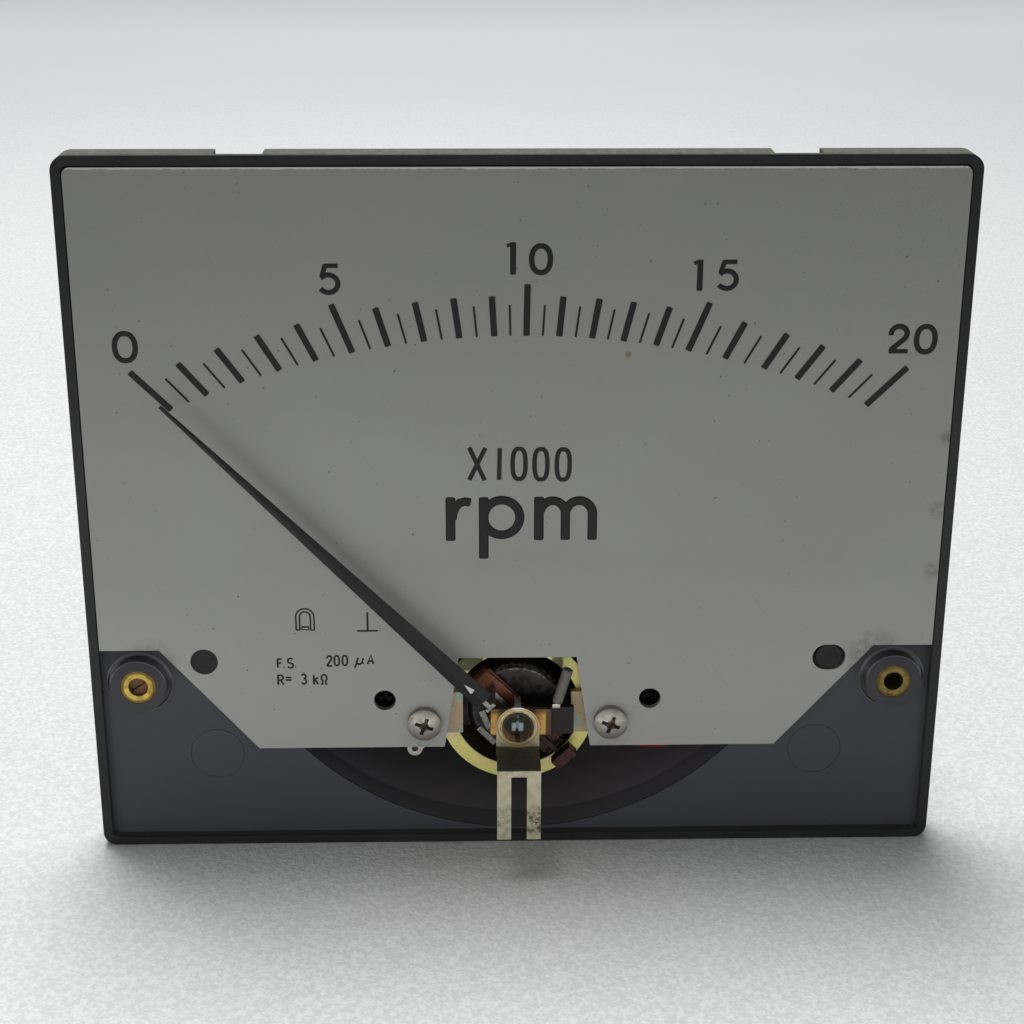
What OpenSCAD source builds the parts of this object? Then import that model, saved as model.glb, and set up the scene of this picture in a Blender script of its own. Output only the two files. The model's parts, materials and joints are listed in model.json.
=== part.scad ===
// Panel tachometer: a 120 x 100 mm moving-coil panel meter with its front cover taken off.
// Millimetres, +Z up, front facing -Y. The origin lies on the barrel's axis, in the plane
// of the flange's back face, which is the face of the panel that the meter is let into.

/* [Flange and tray] */
// Width of the flange
flange_w = 120; // [118:1:124]
// Height of the flange
flange_h = 100; // [98:1:104]
// Depth of the flange, front to back
flange_d = 5; // [4.5:0.5:6]
// Radius of the flange's corners
flange_r = 2; // [1:0.5:3]
// Width of the rim round the tray
rim_w = 1.3; // [1:0.1:1.6]
// Depth of the tray below the rim
tray_d = 1.5; // [1.3:0.1:1.8]
// Distance of the two cover notches from the middle of the top edge
notch_x = 36.2; // [30:0.5:42]
// Width of each cover notch
notch_w = 6.4; // [4:0.2:9]
// Material left in front of each cover notch
notch_front = 1.2; // [0.8:0.1:2]

/* [Barrel] */
// Outer radius of the barrel
barrel_r = 43.5; // [42.5:0.5:44.5]
// Thickness of the barrel's wall
barrel_wall = 1.5; // [1:0.1:2]
// Length of the barrel behind the panel face
barrel_len = 38; // [34:1:44]
// Thickness of the barrel's rear wall
rear_wall = 2.5; // [2:0.1:4]

/* [Cover fixing] */
// Distance of the cover screws from the flange's sides
insert_in = 6.5; // [6:0.1:7]
// Distance of the cover screws below the flange's centre
insert_drop = 24.75; // [24:0.25:26]
// Outer radius of a threaded insert
insert_r = 2.5; // [2.3:0.1:2.8]
// Thread radius of an insert
insert_bore_r = 1.35; // [1.2:0.05:1.5]
// Length of a threaded insert
insert_len = 4.2; // [3.5:0.1:4.5]
// Radius of the boss that holds an insert
boss_r = 4; // [3.6:0.1:4.4]

/* [Dial] */
// Thickness of the dial plate
dial_t = 1; // [0.8:0.1:1.2]
// Height of the dial's face above the rim
dial_proud = 0.2; // [0:0.1:0.4]
// Gap between the dial and the rim
dial_gap = 0.2; // [0.1:0.05:0.4]
// Radius of the dial's top corners
dial_corner_r = 1; // [0.6:0.2:2]
// Distance from the pivot down to the dial's bottom edge
dial_foot = 3.9; // [3.5:0.1:4.5]
// Half the length of the dial's bottom edge
dial_foot_x = 36.8; // [34:0.2:40]
// Height of the movement's window above the pivot
window_h = 10; // [9.5:0.1:11]
// Half width of the window at its top
window_top_x = 8.3; // [8.2:0.1:9]
// Half width of the window at its bottom
window_foot_x = 10.4; // [10:0.1:10.8]
// Distance of the two dial pegs from the middle
peg_x = 44; // [43.6:0.1:45]
// Distance of the dial pegs below the flange's centre
peg_drop = 20.8; // [20:0.1:22]
// Radius of a dial peg
peg_r = 1.85; // [1.6:0.05:2]
// Length of the slot that goes over the right peg
peg_slot = 4.7; // [4.2:0.1:5.2]

/* [Scale] */
// Number of divisions of the scale
divisions = 40; // [20:10:60]
// Angle from one end of the scale to the other
scale_sweep = 90; // [80:1:96]
// Distance from the pivot down to the centre of the mark circles
arc_drop = 57.5; // [50:0.5:60]
// Distance of that centre to the right of the pivot
arc_right = 0.4; // [0:0.1:1]
// Radius of the circle on which the marks' lower ends lie
mark_in_r = 114.2; // [112:0.2:115]
// Radius of the circle at the upper ends of the thin marks
thin_out_r = 118.4; // [117:0.1:118.8]
// Radius of the circle at the upper ends of the thick marks
thick_out_r = 119.6; // [118.8:0.1:120]
// Radius of the circle at the upper ends of the numbered marks
main_out_r = 121.15; // [120.5:0.05:123]
// Width of a thin mark
thin_w = 0.28; // [0.2:0.02:0.3]
// Width of a thick mark
thick_w = 0.85; // [0.6:0.05:1]
// Thickness of the printed ink
ink_t = 0.06; // [0.04:0.01:0.1]

/* [Magnet system] */
// Distance from the flange's centre down to the pivot
pivot_drop = 30.5; // [30:0.1:31]
// Distance of the ring's front face behind the rim
ring_setback = 4; // [3.8:0.1:4.2]
// Inner radius of the yoke ring
ring_in_r = 9; // [8.95:0.05:9.3]
// Outer radius of the yoke ring
ring_out_r = 11.2; // [11:0.1:11.6]
// Length of the yoke ring
ring_len = 14; // [13:0.5:16]
// Radius of the core magnet
core_r = 7; // [6.8:0.05:7.05]
// Chamfer on the core magnet's edges
core_chamfer = 0.6; // [0.3:0.1:0.8]
// Height of the two keys between the core and the ring
key_h = 5.2; // [4.4:0.1:5.6]
// Thickness of the frame plates
plate_t = 1.2; // [1:0.1:1.4]
// Distance from the axis to the frame plates' inner edges
plate_in_x = 7.75; // [7.7:0.05:8]
// Height of the frame plates' inner ends
plate_in_h = 6.4; // [6:0.1:7]
// Distance from the axis to the frame plates' outer ends
plate_out_x = 23; // [22.5:0.5:25]
// Height of the frame plates' outer ends above the axis
plate_top = 7.2; // [6.8:0.2:8]

/* [Bridges] */
// Height of both bridges
bridge_h = 4.2; // [4:0.1:4.6]
// Thickness of both bridges
bridge_t = 1; // [0.9:0.1:1.2]
// Reach of the front bridge to the right of the axis
bridge_right = 8.05; // [7.9:0.05:8.2]
// Reach of the front bridge to the left of the axis
bridge_left = 3; // [2.8:0.1:3.4]
// Width of the brass plate on the front bridge
bush_plate_w = 8.6; // [8:0.1:9]
// Thickness of the brass plate on the front bridge
bush_plate_t = 0.4; // [0.3:0.05:0.5]
// Outer radius of the bush
bush_r = 2.2; // [2.1:0.05:2.2]
// Bore radius of the bush, which the jewel screw fills
jewel_screw_r = 1.95; // [1.65:0.05:1.95]
// Radius of the jewel screws behind their heads
jewel_neck_r = 1.1; // [1:0.05:1.2]
// Radius of a jewel
jewel_r = 0.6; // [0.55:0.05:0.65]
// Length of a jewel
jewel_len = 0.8; // [0.7:0.05:0.9]

/* [Moving coil] */
// Clear space between the coil and the core
coil_gap = 0.35; // [0.3:0.05:0.4]
// Thickness of the coil's former
former_t = 0.2; // [0.15:0.05:0.25]
// Depth of the winding
winding_t = 0.75; // [0.7:0.05:0.8]
// Width of the winding
winding_w = 3.4; // [3:0.1:3.6]
// Number of turns that show on the outside of the winding
outer_turns = 5; // [4:1:5]
// Diameter of the lacquered wire of the outside turns
wire_d = 0.16; // [0.12:0.02:0.18]
// Radius of the pivots
pivot_r = 0.25; // [0.2:0.05:0.3]
// Radius of the collets that hold the hairsprings
collet_r = 0.8; // [0.7:0.05:0.9]

/* [Hairsprings] */
// Turns of the front hairspring
front_turns = 2.75; // [2.25:0.5:2.75]
// Outer radius of the front hairspring
front_spring_r = 2.25; // [2.2:0.05:2.3]
// Turns of the rear hairspring
rear_turns = 5.75; // [4.75:0.5:5.75]
// Outer radius of the rear hairspring
rear_spring_r = 4.4; // [4.2:0.1:4.6]
// Thickness of the hairspring strip
strip_t = 0.06; // [0.05:0.01:0.07]
// Width of the hairspring strip
strip_w = 0.45; // [0.35:0.05:0.5]

/* [Pointer] */
// Distance from the axis to the pointer's tip
pointer_len = 67.6; // [66:0.2:70]
// Angle by which the resting pointer stands above the scale's first mark
rest_stray = 0.6; // [0:0.1:1]
// Distance from the axis to the pointer's root
pointer_root = 6.9; // [6.5:0.1:7.5]
// Width of the pointer at its tip
tip_w = 0.5; // [0.4:0.1:0.8]
// Width of the pointer at its root
root_w = 2.9; // [2.4:0.1:3]
// Thickness of the pointer's sheet
pointer_t = 0.1; // [0.08:0.01:0.12]
// Slope of the pointer's two folded sides
pointer_fold = 18; // [10:1:24]
// Height of the pointer's crest above the rim
pointer_lift = 4.1; // [3.6:0.1:4.6]
// Length of the balance weight on the tail, along the tail
tail_weight_len = 1.72; // [1.6:0.02:2]
// Width of the balance weight on the tail
tail_weight_w = 3.6; // [3:0.1:3.8]
// Thickness of the balance weight on the tail
tail_weight_t = 2.05; // [1.8:0.05:2.3]

/* [Zero adjuster] */
// Width of the zero adjuster
adjuster_w = 6.1; // [5.8:0.1:6.2]
// Thickness of the zero adjuster's sheet
adjuster_t = 0.5; // [0.4:0.05:0.6]
// Height of the zero adjuster's face above the rim
adjuster_lift = 2; // [1.9:0.1:2.2]
// Distance from the axis down to the adjuster's bend
adjuster_drop = 3.5; // [3.4:0.1:3.8]
// Height of the fork's face above the rim
fork_lift = 9.6; // [9:0.1:10.5]
// Distance from the axis down to the fork's ends
fork_foot = 13.7; // [12:0.1:15]
// Width of the fork's slot
fork_slot = 2.2; // [1.8:0.1:2.6]
// Distance from the axis down to the top of the fork's slot
fork_slot_top = 3.9; // [3.8:0.1:5]
// Clearance of the adjuster on its bush
adjuster_clear = 0.05; // [0.03:0.01:0.08]

/* [Fixings] */
// Distance of the frame screws from the middle
frame_screw_x = 18.8; // [18.4:0.1:19.2]
// Height of the frame screws above the pivot
frame_screw_up = 3.5; // [3:0.1:3.8]
// Radius of the dial's holes over the frame screws
access_r = 1.55; // [1.4:0.05:1.8]
// Radius of the frame screws
frame_screw_r = 1.5; // [1.3:0.05:1.6]
// Radius of the posts under the frame screws
post_r = 3.5; // [3.2:0.1:3.8]
// Distance of the dial screws from the middle
dial_screw_x = 13.25; // [13.1:0.05:13.6]
// Radius of the dial screws
dial_screw_r = 1.3; // [1.2:0.05:1.35]
// Radius of the dial screws' heads
dial_head_r = 2.4; // [2.2:0.05:2.6]
// Height of the dial screws' heads
dial_head_h = 1.6; // [1.4:0.05:1.9]
// Half the spacing of the mounting studs, sideways
stud_x = 43; // [42.5:0.5:46]
// Half the spacing of the mounting studs, up and down
stud_z = 36; // [35.5:0.5:38]
// Radius of the mounting studs' plain part, next to the panel face
stud_r = 2; // [1.95:0.05:2.1]
// Length of the mounting studs' plain part
stud_plain = 1.5; // [1:0.5:2]
// Radius of the mounting studs' threaded part
stud_thread_r = 1.95; // [1.85:0.05:1.95]
// Length of the mounting studs behind the panel face
stud_len = 18; // [14:1:22]
// Half the spacing of the terminals
terminal_x = 18; // [16:0.5:20]
// Height of the terminals above the barrel's axis
terminal_z = 4; // [2:0.5:8]
// Radius of the terminal studs
terminal_r = 2; // [1.9:0.05:2.1]
// Length of the terminal studs behind the rear wall
terminal_len = 15; // [14:0.5:18]
// Width of a hexagon nut across its flats
nut_w = 7; // [6.6:0.1:7.2]
// Thickness of a hexagon nut
nut_t = 2.6; // [2.2:0.1:3]
// Radius of a flat washer
washer_r = 4.5; // [4.1:0.1:4.7]
// Thickness of a flat washer
washer_t = 0.8; // [0.6:0.1:1]

/* [Hidden] */
$fn = 64;

// Main places, worked out from the driving sizes
flange_cz = flange_h / 2 - barrel_r;
front_y = -flange_d;
floor_y = front_y + tray_d;
bore_r = barrel_r - barrel_wall;
rear_in_y = barrel_len - rear_wall;
axis_z = flange_cz - pivot_drop;
insert_x = flange_w / 2 - insert_in;
insert_z = flange_cz - insert_drop;
peg_z = flange_cz - peg_drop;
dial_face_y = front_y - dial_proud;
dial_back_y = dial_face_y + dial_t;
peg_clear = 0.07;
moat_w = 0.5;
moat_d = 0.5;

// Levels of the movement along the axis
ring_y = front_y + ring_setback;
ring_back_y = ring_y + ring_len;
plate_y = ring_y - plate_t;
core_end_gap = 0.5;
coil_in_r = core_r + coil_gap;
coil_out_r = coil_in_r + former_t + winding_t;
coil_in_y = ring_y - core_end_gap;
coil_front_y = coil_in_y - former_t - winding_t;
coil_back_y = ring_back_y + core_end_gap + former_t + winding_t;
pad_t = 0.25;
carrier_t = 0.3;
carrier_y = coil_front_y - pad_t - carrier_t;
spring_y = carrier_y - 0.25;
bridge_back_y = spring_y - strip_w - 0.3;
bridge_y = bridge_back_y - bridge_t;
bush_plate_y = bridge_y - bush_plate_t;
adjuster_y = front_y - adjuster_lift;
adjuster_back_y = adjuster_y + adjuster_t;
adjuster_r = adjuster_w / 2;
adjuster_bore = bush_r + adjuster_clear;
bush_rim_r = adjuster_bore + 0.05;
bush_rim_t = 0.15;
pivot_gap = 0.06;
tip_r = 0.02;
tip_in = 0.35;
cone_len = 0.45;
cone_slope = (pivot_r - tip_r) / cone_len;
pivot_foot_r = 1.3;
front_jewel_y = bridge_back_y + 0.1;
rear_spring_y = coil_back_y + pad_t + 0.35;
rear_bridge_y = rear_spring_y + strip_w + 0.9;
rear_bridge_back_y = rear_bridge_y + bridge_t + 0.2;
rear_jewel_y = rear_spring_y + strip_w + 0.7;
foot_gap = 0.1;
rear_leg_in = ring_in_r + 0.2;
rear_leg_out = ring_out_r - 0.4;
rear_leg_x = (rear_leg_in + rear_leg_out) / 2;
small_screw_r = 0.7;
small_screw_in = 4.5;

// The scale's first mark lies to the left of the upright, and the pointer rests close to it
first_mark_dir = 90 + scale_sweep / 2;
rest_dir = first_mark_dir - rest_stray;
pointer_y = front_y - pointer_lift;
blade_t = pointer_t / cos(pointer_fold);
arm_w = 0.7;
finger_y = pointer_y + arm_w / 2 * tan(pointer_fold) + blade_t;
finger_t = 0.3;
finger_len = 2.5;
riser_in = 5.3;
riser_t = 0.5;
riser_w = 1.6;
carrier_hub_r = 1.5;
tail_shift = -0.45;

// Draws a front view, x to the right and y up, as a slab from y_back forward to y_front
module slab(y_back, y_front)
  translate([0, y_back, 0]) rotate([90, 0, 0]) linear_extrude(y_back - y_front) children();

// A round bar along Y, standing at x and z
module rod(r, y_front, y_back, x = 0, z = 0)
  translate([x, y_back, z]) rotate([90, 0, 0]) cylinder(r = r, h = y_back - y_front);

// A ring along Y
module tube_y(r_out, r_in, y_front, y_back, x = 0, z = 0)
  translate([x, y_back, z]) rotate([90, 0, 0]) linear_extrude(y_back - y_front)
    difference() { circle(r_out); circle(r_in); }

// Moves what is drawn round the origin to the pivot axis
module on_axis() translate([0, 0, axis_z]) children();

// Turns what is drawn along +X to the direction a, seen from the front
module toward(a) rotate([0, -a, 0]) children();

// A rectangle with true round corners
module round_rect(w, h, r) {
  square([w - 2 * r, h], center = true);
  square([w, h - 2 * r], center = true);
  for (x = [-1, 1], z = [-1, 1])
    translate([x * (w / 2 - r), z * (h / 2 - r)]) circle(r);
}

// A hexagon nut along Y, bored to fit its stud
module hex_nut(w, r_in, y_front, y_back, x, z)
  difference() {
    translate([x, y_back, z]) rotate([90, 0, 0])
      cylinder(r = w / 2 / cos(30), h = y_back - y_front, $fn = 6);
    rod(r_in, y_front - 1, y_back + 1, x, z);
  }

// A screw head with a domed top, drawn with its seat at y = 0 and its top towards -Y
module domed_head(r, h)
  rotate([90, 0, 0]) rotate_extrude() intersection() {
    translate([0, h - 2.2 * r]) circle(2.2 * r);
    square([r, h]);
  }

module cross_slot(len, w, depth)
  for (a = [0, 90]) rotate([0, a, 0])
    translate([-len / 2, -depth, -w / 2]) cube([len, depth + 1, w]);

module stud_places()
  for (x = [-1, 1], z = [-1, 1])
    translate([x * stud_x, 0, flange_cz + z * stud_z]) children();

module terminal_places()
  for (x = [-1, 1]) translate([x * terminal_x, 0, terminal_z]) children();

stud_seat = 2.5;
stud_head_r = 2.6;
pad_x = 52;
pad_up = 41;
pad_r = 2.5;
peg_shoulder_r = 3;
terminal_boss_r = 6.5;
terminal_boss_h = 1;
notch_deep = 1;
frame_screw_in = 8;
witness_r = 3.9;

// The real case is one moulding. The flange with its tray and a short collar is drawn apart
// from the barrel, which goes on from the collar
collar_len = 1.5;
module base_case() color([0.12, 0.12, 0.13]) difference() {
  union() {
    rod(barrel_r, -1, collar_len);
    difference() {
      translate([0, 0, flange_cz]) slab(0, front_y) round_rect(flange_w, flange_h, flange_r);
      translate([0, 0, flange_cz]) slab(floor_y, front_y - 1)
        round_rect(flange_w - 2 * rim_w, flange_h - 2 * rim_w, flange_r - 1);
    }
    for (x = [-1, 1]) {
      rod(boss_r, front_y, floor_y + 0.5, x * insert_x, insert_z);
      rod(peg_shoulder_r, dial_back_y, floor_y + 0.5, x * peg_x, peg_z);
      rod(peg_r, dial_face_y + 0.2, floor_y + 0.5, x * peg_x, peg_z);
      rod(pad_r, dial_back_y, floor_y + 0.5, x * pad_x, flange_cz + pad_up);
      rod(pad_r, dial_back_y, floor_y + 0.5, x * pad_x, flange_cz);
    }
  }
  rod(bore_r, front_y - 1, collar_len + 1);
  for (x = [-1, 1]) {
    rod(insert_r, front_y - 1, front_y + insert_len, x * insert_x, insert_z);
    tube_y(boss_r + moat_w, boss_r, floor_y - 0.5, floor_y + moat_d, x * insert_x, insert_z);
    translate([x * notch_x - notch_w / 2, front_y + notch_front, flange_cz + flange_h / 2 - notch_deep])
      cube([notch_w, flange_d - notch_front + 1, notch_deep + 1]);
  }
  stud_places() {
    rod(stud_head_r, -stud_seat, 1);
    tube_y(witness_r, witness_r - 0.15, floor_y - 1, floor_y + 0.1);
  }
}

// The barrel is closed at the back, and two posts for the frame plates stand on its end wall
module barrel_shell() color([0.12, 0.12, 0.13]) difference() {
  union() {
    difference() {
      rod(barrel_r, collar_len, barrel_len);
      rod(bore_r, collar_len - 1, rear_in_y);
    }
    for (x = [-1, 1])
      rod(post_r, ring_y, rear_in_y + 0.5, x * frame_screw_x, axis_z + frame_screw_up);
    terminal_places() rod(terminal_boss_r, barrel_len - 1, barrel_len + terminal_boss_h);
  }
  for (x = [-1, 1])
    rod(frame_screw_r, ring_y - 1, ring_y + frame_screw_in + 1, x * frame_screw_x,
      axis_z + frame_screw_up);
  terminal_places() rod(terminal_r, rear_in_y - 1, barrel_len + terminal_boss_h + 1);
}

module cover_inserts() color([0.65, 0.51, 0.18])
  for (x = [-1, 1])
    tube_y(insert_r, insert_bore_r, front_y, front_y + insert_len, x * insert_x, insert_z);

stub_sunk = 0.6;
module insert_screw() color([0.42, 0.25, 0.14]) difference() {
  rod(insert_bore_r, front_y + stub_sunk, front_y + insert_len, -insert_x, insert_z);
  translate([-insert_x, front_y + stub_sunk, insert_z]) rotate([0, -35, 0])
    translate([-2, -1, -0.2]) cube([4, 1.7, 0.4]);
}

// The dial's corners, counted from the flange's centre
dial_x = flange_w / 2 - rim_w - dial_gap;
dial_top = flange_h / 2 - rim_w - dial_gap;
dial_side_z = boss_r + 1.75 - insert_drop;
dial_step_x = insert_x - 3.3;
dial_foot_z = -pivot_drop - dial_foot;
window_top_z = window_h - pivot_drop;

module dial_outline() {
  difference() {
    translate([-dial_x, dial_side_z]) square([2 * dial_x, dial_top - dial_side_z]);
    for (x = [-1, 1]) difference() {
      translate([x * dial_x - dial_corner_r, dial_top - dial_corner_r])
        square(2 * dial_corner_r);
      translate([x * (dial_x - dial_corner_r), dial_top - dial_corner_r]) circle(dial_corner_r);
    }
  }
  polygon([[-dial_step_x, dial_side_z + 1], [-dial_step_x, dial_side_z],
    [-dial_foot_x, dial_foot_z], [dial_foot_x, dial_foot_z],
    [dial_step_x, dial_side_z], [dial_step_x, dial_side_z + 1]]);
}

module dial_plate() color([0.60, 0.61, 0.59])
  translate([0, 0, flange_cz]) slab(dial_back_y, dial_face_y) difference() {
    dial_outline();
    polygon([[-window_top_x, window_top_z], [window_top_x, window_top_z],
      [window_foot_x, dial_foot_z], [window_foot_x, dial_foot_z - 1],
      [-window_foot_x, dial_foot_z - 1], [-window_foot_x, dial_foot_z]]);
    translate([-peg_x, -peg_drop]) circle(peg_r + peg_clear);
    for (s = [-1, 1])
      translate([peg_x + s * (peg_slot / 2 - peg_r - peg_clear), -peg_drop])
        circle(peg_r + peg_clear);
    translate([peg_x, -peg_drop])
      square([peg_slot - 2 * (peg_r + peg_clear), 2 * (peg_r + peg_clear)], center = true);
    for (x = [-1, 1]) {
      translate([x * frame_screw_x, frame_screw_up - pivot_drop]) circle(access_r);
      translate([x * dial_screw_x, -pivot_drop]) circle(dial_screw_r);
    }
  }

// The scale is drawn to the movement, so its marks stray a little from even steps: degrees to
// the left, against the fraction of the scale
scale_strays = [[0, -0.2], [0.1, 0], [0.2, -0.3], [0.3, -0.65], [0.35, -0.9], [0.45, -1.2],
  [0.5, -1], [0.6, -0.75], [0.65, -0.4], [0.7, -0.2], [0.75, 0.1], [0.8, -0.15], [0.85, -0.6],
  [0.9, -0.3], [1, 0.1]];
function mark_dir(f) = first_mark_dir - scale_sweep * f + lookup(f, scale_strays);

// How far a mark at angle a reaches from the pivot before it meets the circle of radius r
function centre_along(a) = arc_right * cos(a) - arc_drop * sin(a);
function reach(a, r) = centre_along(a)
  + sqrt(pow(centre_along(a), 2) - pow(arc_right, 2) - pow(arc_drop, 2) + r * r);

module mark(a, r_out, w) {
  r0 = reach(a, mark_in_r);
  r1 = reach(a, r_out);
  rotate(a) translate([r0, -w / 2]) square([r1 - r0, w]);
}

module scale_marks() color([0.16, 0.16, 0.17])
  on_axis() slab(dial_face_y, dial_face_y - ink_t)
    for (i = [0 : divisions]) {
      a = mark_dir(i / divisions);
      if (i % (divisions / 4) == 0) mark(a, main_out_r, thick_w);
      else if (i % 2 == 0) mark(a, thick_out_r, thick_w);
      else mark(a, thin_out_r, thin_w);
    }

dial_screw_past = 2;
dial_screw_end = ring_y + dial_screw_past;
module dial_screws() color([0.62, 0.61, 0.57])
  for (x = [-1, 1]) translate([x * dial_screw_x, dial_face_y, axis_z]) {
    difference() {
      domed_head(dial_head_r, dial_head_h);
      translate([0, -dial_head_h + 0.9, 0]) rotate([0, 20, 0])
        cross_slot(dial_head_r + 0.3, 0.55, dial_head_h - 0.4);
    }
    rod(dial_screw_r, 0, dial_screw_end - dial_face_y);
  }

tag_t = 0.4;
module dial_spacers() color([0.68, 0.57, 0.30])
  for (x = [-1, 1])
    tube_y(dial_head_r, dial_screw_r, dial_back_y + (x < 0 ? tag_t : 0), plate_y,
      x * dial_screw_x, axis_z);

tag_eye = [-14.7, -4.7];
tag_eye_r = 1.1;
eye_r = 0.45;
module earth_tag() color([0.70, 0.70, 0.68])
  on_axis() slab(dial_back_y + tag_t, dial_back_y) difference() {
    union() {
      translate([-dial_screw_x, 0]) circle(dial_head_r);
      translate(tag_eye) circle(tag_eye_r);
      translate([-dial_screw_x - 1.5, tag_eye[1]]) square([1.4, -tag_eye[1]]);
    }
    translate([-dial_screw_x, 0]) circle(dial_screw_r);
    translate(tag_eye) circle(eye_r);
  }

module frame_plates() color([0.68, 0.64, 0.50])
  on_axis() slab(ring_y, plate_y) for (x = [-1, 1]) mirror([x < 0 ? 1 : 0, 0]) difference() {
    union() {
      translate([plate_in_x, -plate_in_h / 2]) square([4, plate_in_h]);
      translate([plate_in_x + 3, -plate_in_h / 2])
        square([plate_out_x - plate_in_x - 3, plate_top + plate_in_h / 2]);
    }
    translate([dial_screw_x, 0]) circle(dial_screw_r);
    translate([frame_screw_x, frame_screw_up]) circle(frame_screw_r);
  }

frame_head_r = 2.6;
frame_head_h = 1.1;
module frame_screws() color([0.62, 0.61, 0.57])
  for (x = [-1, 1]) translate([x * frame_screw_x, plate_y, axis_z + frame_screw_up]) {
    difference() {
      domed_head(frame_head_r, frame_head_h);
      translate([0, -frame_head_h + 0.6, 0]) cross_slot(2.8, 0.6, 1.2);
    }
    rod(frame_screw_r, 0, plate_t + frame_screw_in);
  }

module yoke_ring() color([0.79, 0.77, 0.45]) on_axis() difference() {
  tube_y(ring_out_r, ring_in_r, ring_y, ring_back_y);
  for (x = [-1, 1]) rod(small_screw_r, ring_back_y - small_screw_in - 0.5, ring_back_y + 1, x * rear_leg_x);
}

module core_magnet() color([0.20, 0.20, 0.20])
  on_axis() translate([0, ring_back_y, 0]) rotate([90, 0, 0]) rotate_extrude()
    polygon([[0, 0], [core_r - core_chamfer, 0], [core_r, core_chamfer],
      [core_r, ring_len - core_chamfer], [core_r - core_chamfer, ring_len], [0, ring_len]]);

module core_keys() color([0.55, 0.52, 0.44])
  on_axis() slab(ring_back_y, ring_y) intersection() {
    difference() { circle(ring_in_r); circle(core_r); }
    square([2 * ring_out_r, key_h], center = true);
  }

bridge_foot_x = 6.3;
bush_neck_r = 1.5;
module front_bridge() color([0.31, 0.22, 0.20]) on_axis() difference() {
  union() {
    slab(bridge_back_y, bridge_y)
      translate([-bridge_left, -bridge_h / 2]) square([bridge_left + bridge_right, bridge_h]);
    translate([bridge_foot_x, bridge_y, -bridge_h / 2])
      cube([plate_in_x - foot_gap - bridge_foot_x, ring_y - bridge_y, bridge_h]);
  }
  rod(bush_neck_r, bridge_y - 1, bridge_back_y + 1);
}

bush_plate_left = 3.8;
module bridge_bush() color([0.72, 0.55, 0.25]) on_axis() difference() {
  union() {
    slab(bridge_y, bush_plate_y)
      translate([-bush_plate_left, -bridge_h / 2 + 0.1]) square([bush_plate_w, bridge_h - 0.2]);
    rod(bush_neck_r, bridge_y - 0.1, bridge_back_y);
    rod(bush_r, adjuster_y - bush_rim_t - 0.05, bush_plate_y + 0.1);
    rod(bush_rim_r, adjuster_y - bush_rim_t - 0.05, adjuster_y - 0.05);
  }
  rod(jewel_screw_r, adjuster_y - 1, bush_plate_y + 0.1);
  rod(jewel_neck_r, adjuster_y - 1, bridge_back_y + 1);
}

// A hole for a pivot's cone, opening towards +Y at y = 0, wider than the cone by pivot_gap
module jewel_cup() rotate([90, 0, 0])
  cylinder(r1 = tip_r + tip_in * cone_slope + pivot_gap, r2 = tip_r,
    h = tip_in + pivot_gap / cone_slope);

screw_sunk = 1.2;
screw_slot = 0.4;
slot_lean = 5;
module front_jewel_screw() color([0.38, 0.37, 0.33]) on_axis() difference() {
  union() {
    rod(jewel_screw_r, adjuster_y + screw_sunk, bush_plate_y + 0.1);
    rod(jewel_neck_r, bush_plate_y, front_jewel_y);
  }
  rod(jewel_r, front_jewel_y - jewel_len, front_jewel_y + 1);
  rotate([0, slot_lean, 0]) translate([-screw_slot / 2, adjuster_y, -3])
    cube([screw_slot, screw_sunk + 0.6, 6]);
}

module front_jewel() color([0.75, 0.20, 0.25]) on_axis() difference() {
  rod(jewel_r, front_jewel_y - jewel_len, front_jewel_y);
  translate([0, front_jewel_y, 0]) jewel_cup();
}

// The friction sleeve fills the room between the brass plate and the adjuster, and is split
sleeve_clear = 0.03;
sleeve_slit = 0.4;
module friction_sleeve() color([0.70, 0.66, 0.50]) on_axis() difference() {
  tube_y(adjuster_r - adjuster_t - 0.12, bush_r + sleeve_clear, adjuster_back_y, bush_plate_y);
  translate([0, adjuster_back_y - 1, -sleeve_slit / 2])
    cube([adjuster_r, bush_plate_y - adjuster_back_y + 2, sleeve_slit]);
}

tab_w = 0.9;
tab_slot = 0.3;
module zero_adjuster() color([0.75, 0.73, 0.63]) on_axis() {
  slab(adjuster_back_y, adjuster_y) difference() {
    union() {
      circle(adjuster_r);
      translate([-adjuster_r, -adjuster_drop]) square([adjuster_w, adjuster_drop]);
    }
    circle(adjuster_bore);
  }
  translate([-adjuster_r, front_y - fork_lift, -adjuster_drop])
    cube([adjuster_w, fork_lift - adjuster_lift + adjuster_t, adjuster_t]);
  slab(front_y - fork_lift + adjuster_t, front_y - fork_lift) difference() {
    translate([-adjuster_r, -fork_foot]) square([adjuster_w, fork_foot - adjuster_drop + adjuster_t]);
    translate([-fork_slot / 2, -fork_foot - 1]) square([fork_slot, fork_foot + 1 - fork_slot_top]);
  }
  difference() {
    translate([-tab_w / 2, adjuster_y, adjuster_r - adjuster_t])
      cube([tab_w, spring_y - adjuster_y, adjuster_t - 0.04]);
    translate([-tab_slot / 2, spring_y - strip_w - 0.3, adjuster_r - 1]) cube([tab_slot, 2, 2]);
  }
}

// The sleeved stop wire leans to the right, and its flattened foot lies on the bridge's top edge
wire_r = 0.3;
sleeve_r = 0.75;
stop_foot = [5.5, front_y, bridge_h / 2 + wire_r];
stop_foot_run = 0.55;
stop_lean = 16.3;
stop_len = 5.9;
module stop_wire() color([0.72, 0.71, 0.66]) on_axis() translate(stop_foot) {
  translate([-stop_foot_run, -wire_r, -wire_r])
    cube([2 * stop_foot_run, 2 * wire_r, 2 * wire_r]);
  rotate([0, stop_lean, 0]) cylinder(r = wire_r, h = stop_len - 0.3);
}

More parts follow.
